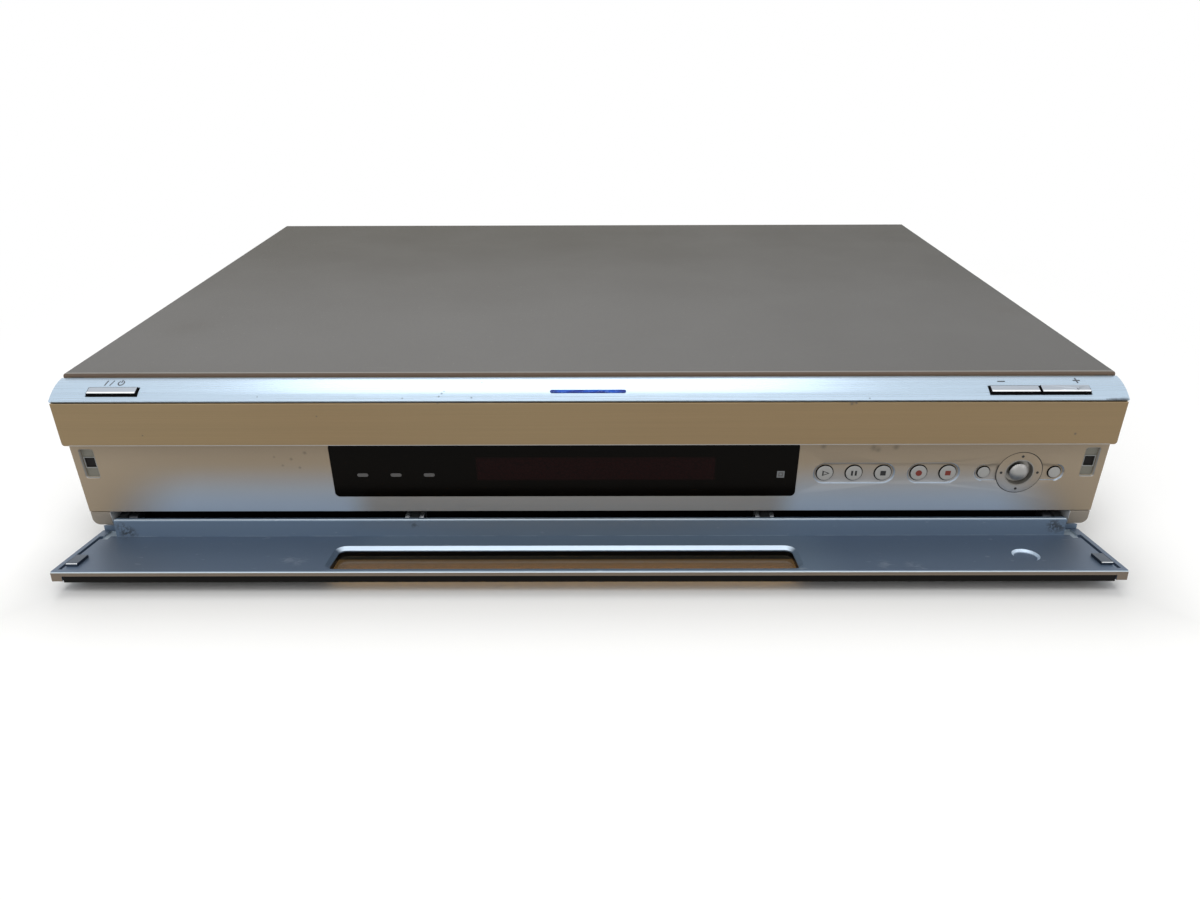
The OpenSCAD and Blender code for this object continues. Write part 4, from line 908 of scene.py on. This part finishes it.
BACKWARD = -FORWARD
JACK_COLOURS = {"yellow": srgb(204, 158, 22), "white": srgb(214, 213, 208), "red": srgb(158, 26, 24),
                "blue": srgb(28, 62, 150), "green": srgb(34, 112, 58)}
JACK_X, JACK_STEP, JACK_ROWS = 31.5, 15, (-44.6, -30.6)
# Inner and outer radius, place behind the rear and thickness
JACK_RINGS = ((4.2, 5.7, 0.38, 0.9), (1.72, 3.1, 7.5 - SINK, 0.12))


def rear_trim():
    """A dark plate round the jacks, and a coloured collar and insulator on each of them."""
    bm = bmesh.new()
    slab(bm, facing(rounded(24.4, -52.0, 98.6, -23.2, 2.0), REAR - SINK), BACKWARD * 0.42)
    piece("jack_plate", bm, finishes["black_plastic"], "case")
    for i, (name, colour) in enumerate(JACK_COLOURS.items()):
        bm = bmesh.new()
        x = JACK_X + JACK_STEP * i
        for z in JACK_ROWS:
            for small, large, back, thick in JACK_RINGS:
                inner, outer = (facing(circle(x, z, r, 40), REAR + back) for r in (small, large))
                ring(bm, inner, outer, BACKWARD * thick)
        mat = painted("jack_" + name, colour, rough=0.4, grain=0.5, depth=0.01, vary=0.06)
        piece("jack_" + name, bm, mat, "case")


def cross_screws(name, places, out):
    """Screws with rounded heads and cross recesses.

    places are on the heads' faces, and out is the axis along which they face away from the middle.
    """
    screws = soften(name, 0.5, where=lambda p: abs(p.dot(out)) > abs(places[0].dot(out)) - TOUCH, segments=3)
    side = Vector((0, 0, 1)).cross(out)
    plus = plus_shape(0, 0, 1.8 * MM, 1.8 * MM, 0.34 * MM)
    bm = bmesh.new()
    for place in places:
        way = out if place.dot(out) > 0 else -out
        slab(bm, [place + side * u + Vector((0, 0, v)) + way * 0.2 * MM for u, v in plus], way * -1.1 * MM)
    bmesh.ops.recalc_face_normals(bm, faces=bm.faces)
    mesh = bpy.data.meshes.new("cutter")
    bm.to_mesh(mesh)
    bm.free()
    cutter = bpy.data.objects.new("cutter", mesh)
    scene.collection.objects.link(cutter)
    cut = screws.modifiers.new("cross", "BOOLEAN")
    cut.object = cutter
    cut.solver = "EXACT"
    made = bpy.data.meshes.new_from_object(screws.evaluated_get(bpy.context.evaluated_depsgraph_get()))
    screws.modifiers.clear()
    screws.data = made
    bpy.data.objects.remove(cutter)


def fascia_edge(p):
    """Whether a point is on the front rim of a key recess or a catch recess."""
    if p.y > at(0, FASCIA_BACK + 0.1, 0).y:
        return False
    from_stick = (p - at(STICK_X, FASCIA_BACK, STICK_Z)).length
    keys = at(90, 0, 0).x < p.x < at(200, 0, 0).x and abs(p.z - at(0, 0, KEY_Z).z) < 8 * MM
    catch = 205.5 * MM < abs(p.x) < 212.0 * MM and abs(p.z - at(0, 0, -30.1).z) < 7 * MM
    return catch or keys and from_stick > 9.8 * MM


def cover_bend(p):
    """Whether a point is on the upper front edge of the cover."""
    return p.y < COVER_LOW.y + TOUCH and p.z > COVER_HIGH.z - TOUCH


def corner_block(p):
    """Whether a point is on a corner block under the fascia."""
    return p.z < at(0, 0, -VISOR_H - FASCIA_H).z and p.y < at(0, 12.5, 0).y


play_mark()
field_shade_and_dots()
key_gap_shade()
receiver_mark()
strip_marks()
visor_edge_highlight()
slot_shade()
catch_highlights()
door_plate_pieces()
rear_trim()
rear_heads = [at(x, REAR + 1.2, 0.2) for x in (-200.7, -117.3, -36.7, 111.5, 200.7)]
side_heads = [at(x, back, -52.2) for x in (-215.0, 215.0) for back in (40.0, 250.0)]
cross_screws("rear_screws", rear_heads, Vector((0, 1, 0)))
cross_screws("cover_screws", side_heads, Vector((1, 0, 0)))
soften("top_cover", 0.7, where=cover_bend, segments=4)
soften("visor_panel", 0.3, where=lambda p: p.y < at(0, 0.6, 0).y, least=1.0)
soften("lower_fascia", 0.5, where=fascia_edge, segments=1)
# Painted highlight: the strikes' faces that look forward and up are near-white.
soften("door_strikes", 0.2, mats=[finishes["strike_steel"], strike_highlight],
       side=lambda normal: 1 if normal.y < -0.2 and normal.z > 0.2 else 0)
soften("front_frame", 0.3, where=corner_block, least=0.3)
# Painted shade: the strip keys' sides are near-black.
for name in ("power_key", "program_minus_key", "program_plus_key"):
    soften(name, 0.35, least=0.8, mats=[strip_key_finish, shade_black],
           side=lambda normal: 0 if normal.dot(STRIP_OUT) > 0.97 else 1)
# Painted shade: the round keys' sides are near-black.
for name in KEY_RADII:
    soften(name, 0.25, where=lambda p: p.y < at(0, KEY_FACE + 0.1, 0).y, segments=3,
           mats=[button_finish, shade_black], side=lambda normal: 0 if normal.y < -0.2 else 1)
soften("feet", 0.8, segments=3)

# Studio

# Light that the floor adds round the object and behind the smoked pane, and the world's level as a lamp
FLOOR_LIFT, PANE_LIFT, WORLD_FILL = 0.14, 0.18, 0.40


def floor_finish():
    """Pale floor that keeps the object's shadow and runs out to white."""
    f = Finish("studio_floor", specular=0.2)
    f.done(f.tint(srgb(240, 240, 239), f.noise(300.0, 2.0), 0.01),
           f.calc("MULTIPLY_ADD", f.noise(40.0), 0.1, 0.7))
    path = f.node("ShaderNodeLightPath")
    through = path.outputs["Is Transmission Ray"]
    seen = f.calc("MAXIMUM", path.outputs["Is Camera Ray"],
                  f.calc("MAXIMUM", path.outputs["Is Glossy Ray"], through))
    white = f.node("ShaderNodeEmission")
    lift = f.node("ShaderNodeEmission")
    outside = f.calc("MAXIMUM", f.calc("SUBTRACT", f.calc("ABSOLUTE", f.axis("X")), cad_box[1][0]),
                     f.calc("SUBTRACT", f.calc("ABSOLUTE", f.axis("Y")), cad_box[1][1]))
    even = f.calc("MULTIPLY", through, PANE_LIFT)
    nearby = f.calc("MULTIPLY", seen, f.fade(outside, -5 * MM, 40 * MM, 0.0, FLOOR_LIFT))
    f.feed(lift.inputs["Strength"], f.calc("MAXIMUM", even, nearby))
    added = f.node("ShaderNodeAddShader")
    f.feed(added.inputs[0], f.bsdf.outputs["BSDF"])
    f.feed(added.inputs[1], lift.outputs["Emission"])
    blend = f.node("ShaderNodeMixShader")
    f.feed(blend.inputs["Fac"], f.calc("MULTIPLY", seen, f.fade(outside, 20 * MM, 240 * MM)))
    f.feed(blend.inputs[1], added.outputs["Shader"])
    f.feed(blend.inputs[2], white.outputs["Emission"])
    f.feed(f.out.inputs["Surface"], blend.outputs["Shader"])
    return f.mat


def make_floor():
    """A wide flat floor under the object."""
    bm = bmesh.new()
    bmesh.ops.create_grid(bm, x_segments=8, y_segments=8, size=6.0)
    mesh = bpy.data.meshes.new("studio_floor")
    bm.to_mesh(mesh)
    bm.free()
    floor = bpy.data.objects.new("studio_floor", mesh)
    scene.collection.objects.link(floor)
    mesh.materials.append(floor_finish())


def make_world():
    """White where it is seen or mirrored, softer where it only lights."""
    world = bpy.data.worlds.new("studio")
    scene.world = world
    world.use_nodes = True
    tree = world.node_tree
    back = tree.nodes["Background"]
    back.inputs["Color"].default_value = (1, 1, 1, 1)
    path = tree.nodes.new("ShaderNodeLightPath")
    first = tree.nodes.new("ShaderNodeMath")
    second = tree.nodes.new("ShaderNodeMath")
    level = tree.nodes.new("ShaderNodeMapRange")
    first.operation = second.operation = "MAXIMUM"
    tree.links.new(path.outputs["Is Camera Ray"], first.inputs[0])
    tree.links.new(path.outputs["Is Glossy Ray"], first.inputs[1])
    tree.links.new(first.outputs[0], second.inputs[0])
    tree.links.new(path.outputs["Is Transmission Ray"], second.inputs[1])
    tree.links.new(second.outputs[0], level.inputs["Value"])
    level.inputs["To Min"].default_value = WORLD_FILL
    level.inputs["To Max"].default_value = 1.0
    tree.links.new(level.outputs["Result"], back.inputs["Strength"])


def softbox(name, place, aim, size, power):
    """A soft rectangular lamp, with its place, aim and size in metres."""
    data = bpy.data.lights.new(name, "AREA")
    data.shape = "RECTANGLE"
    data.size, data.size_y = size
    data.energy = power
    lamp = bpy.data.objects.new(name, data)
    scene.collection.objects.link(lamp)
    lamp.matrix_world = (Matrix.Translation(place)
                         @ (Vector(place) - Vector(aim)).to_track_quat("Z", "Y").to_matrix().to_4x4())


make_floor()
make_world()
softbox("overhead", (-0.10, 0.22, 1.25), (-0.10, -0.05, 0.05), (1.0, 0.6), 4.0)
softbox("rear_top", (-0.10, 0.76, 1.03), (-0.10, -0.13, 0.08), (1.05, 0.62), 4.1)
softbox("front_top", (0, -0.66, 1.15), (0, -0.12, 0.03), (1.1, 0.4), 4.2)
softbox("front_left", (-0.9, -1.0, 0.9), (0, 0, 0.03), (0.8, 0.8), 3.7)
softbox("front_right", (1.1, -0.7, 0.8), (0, 0, 0.03), (0.6, 0.8), 2.3)
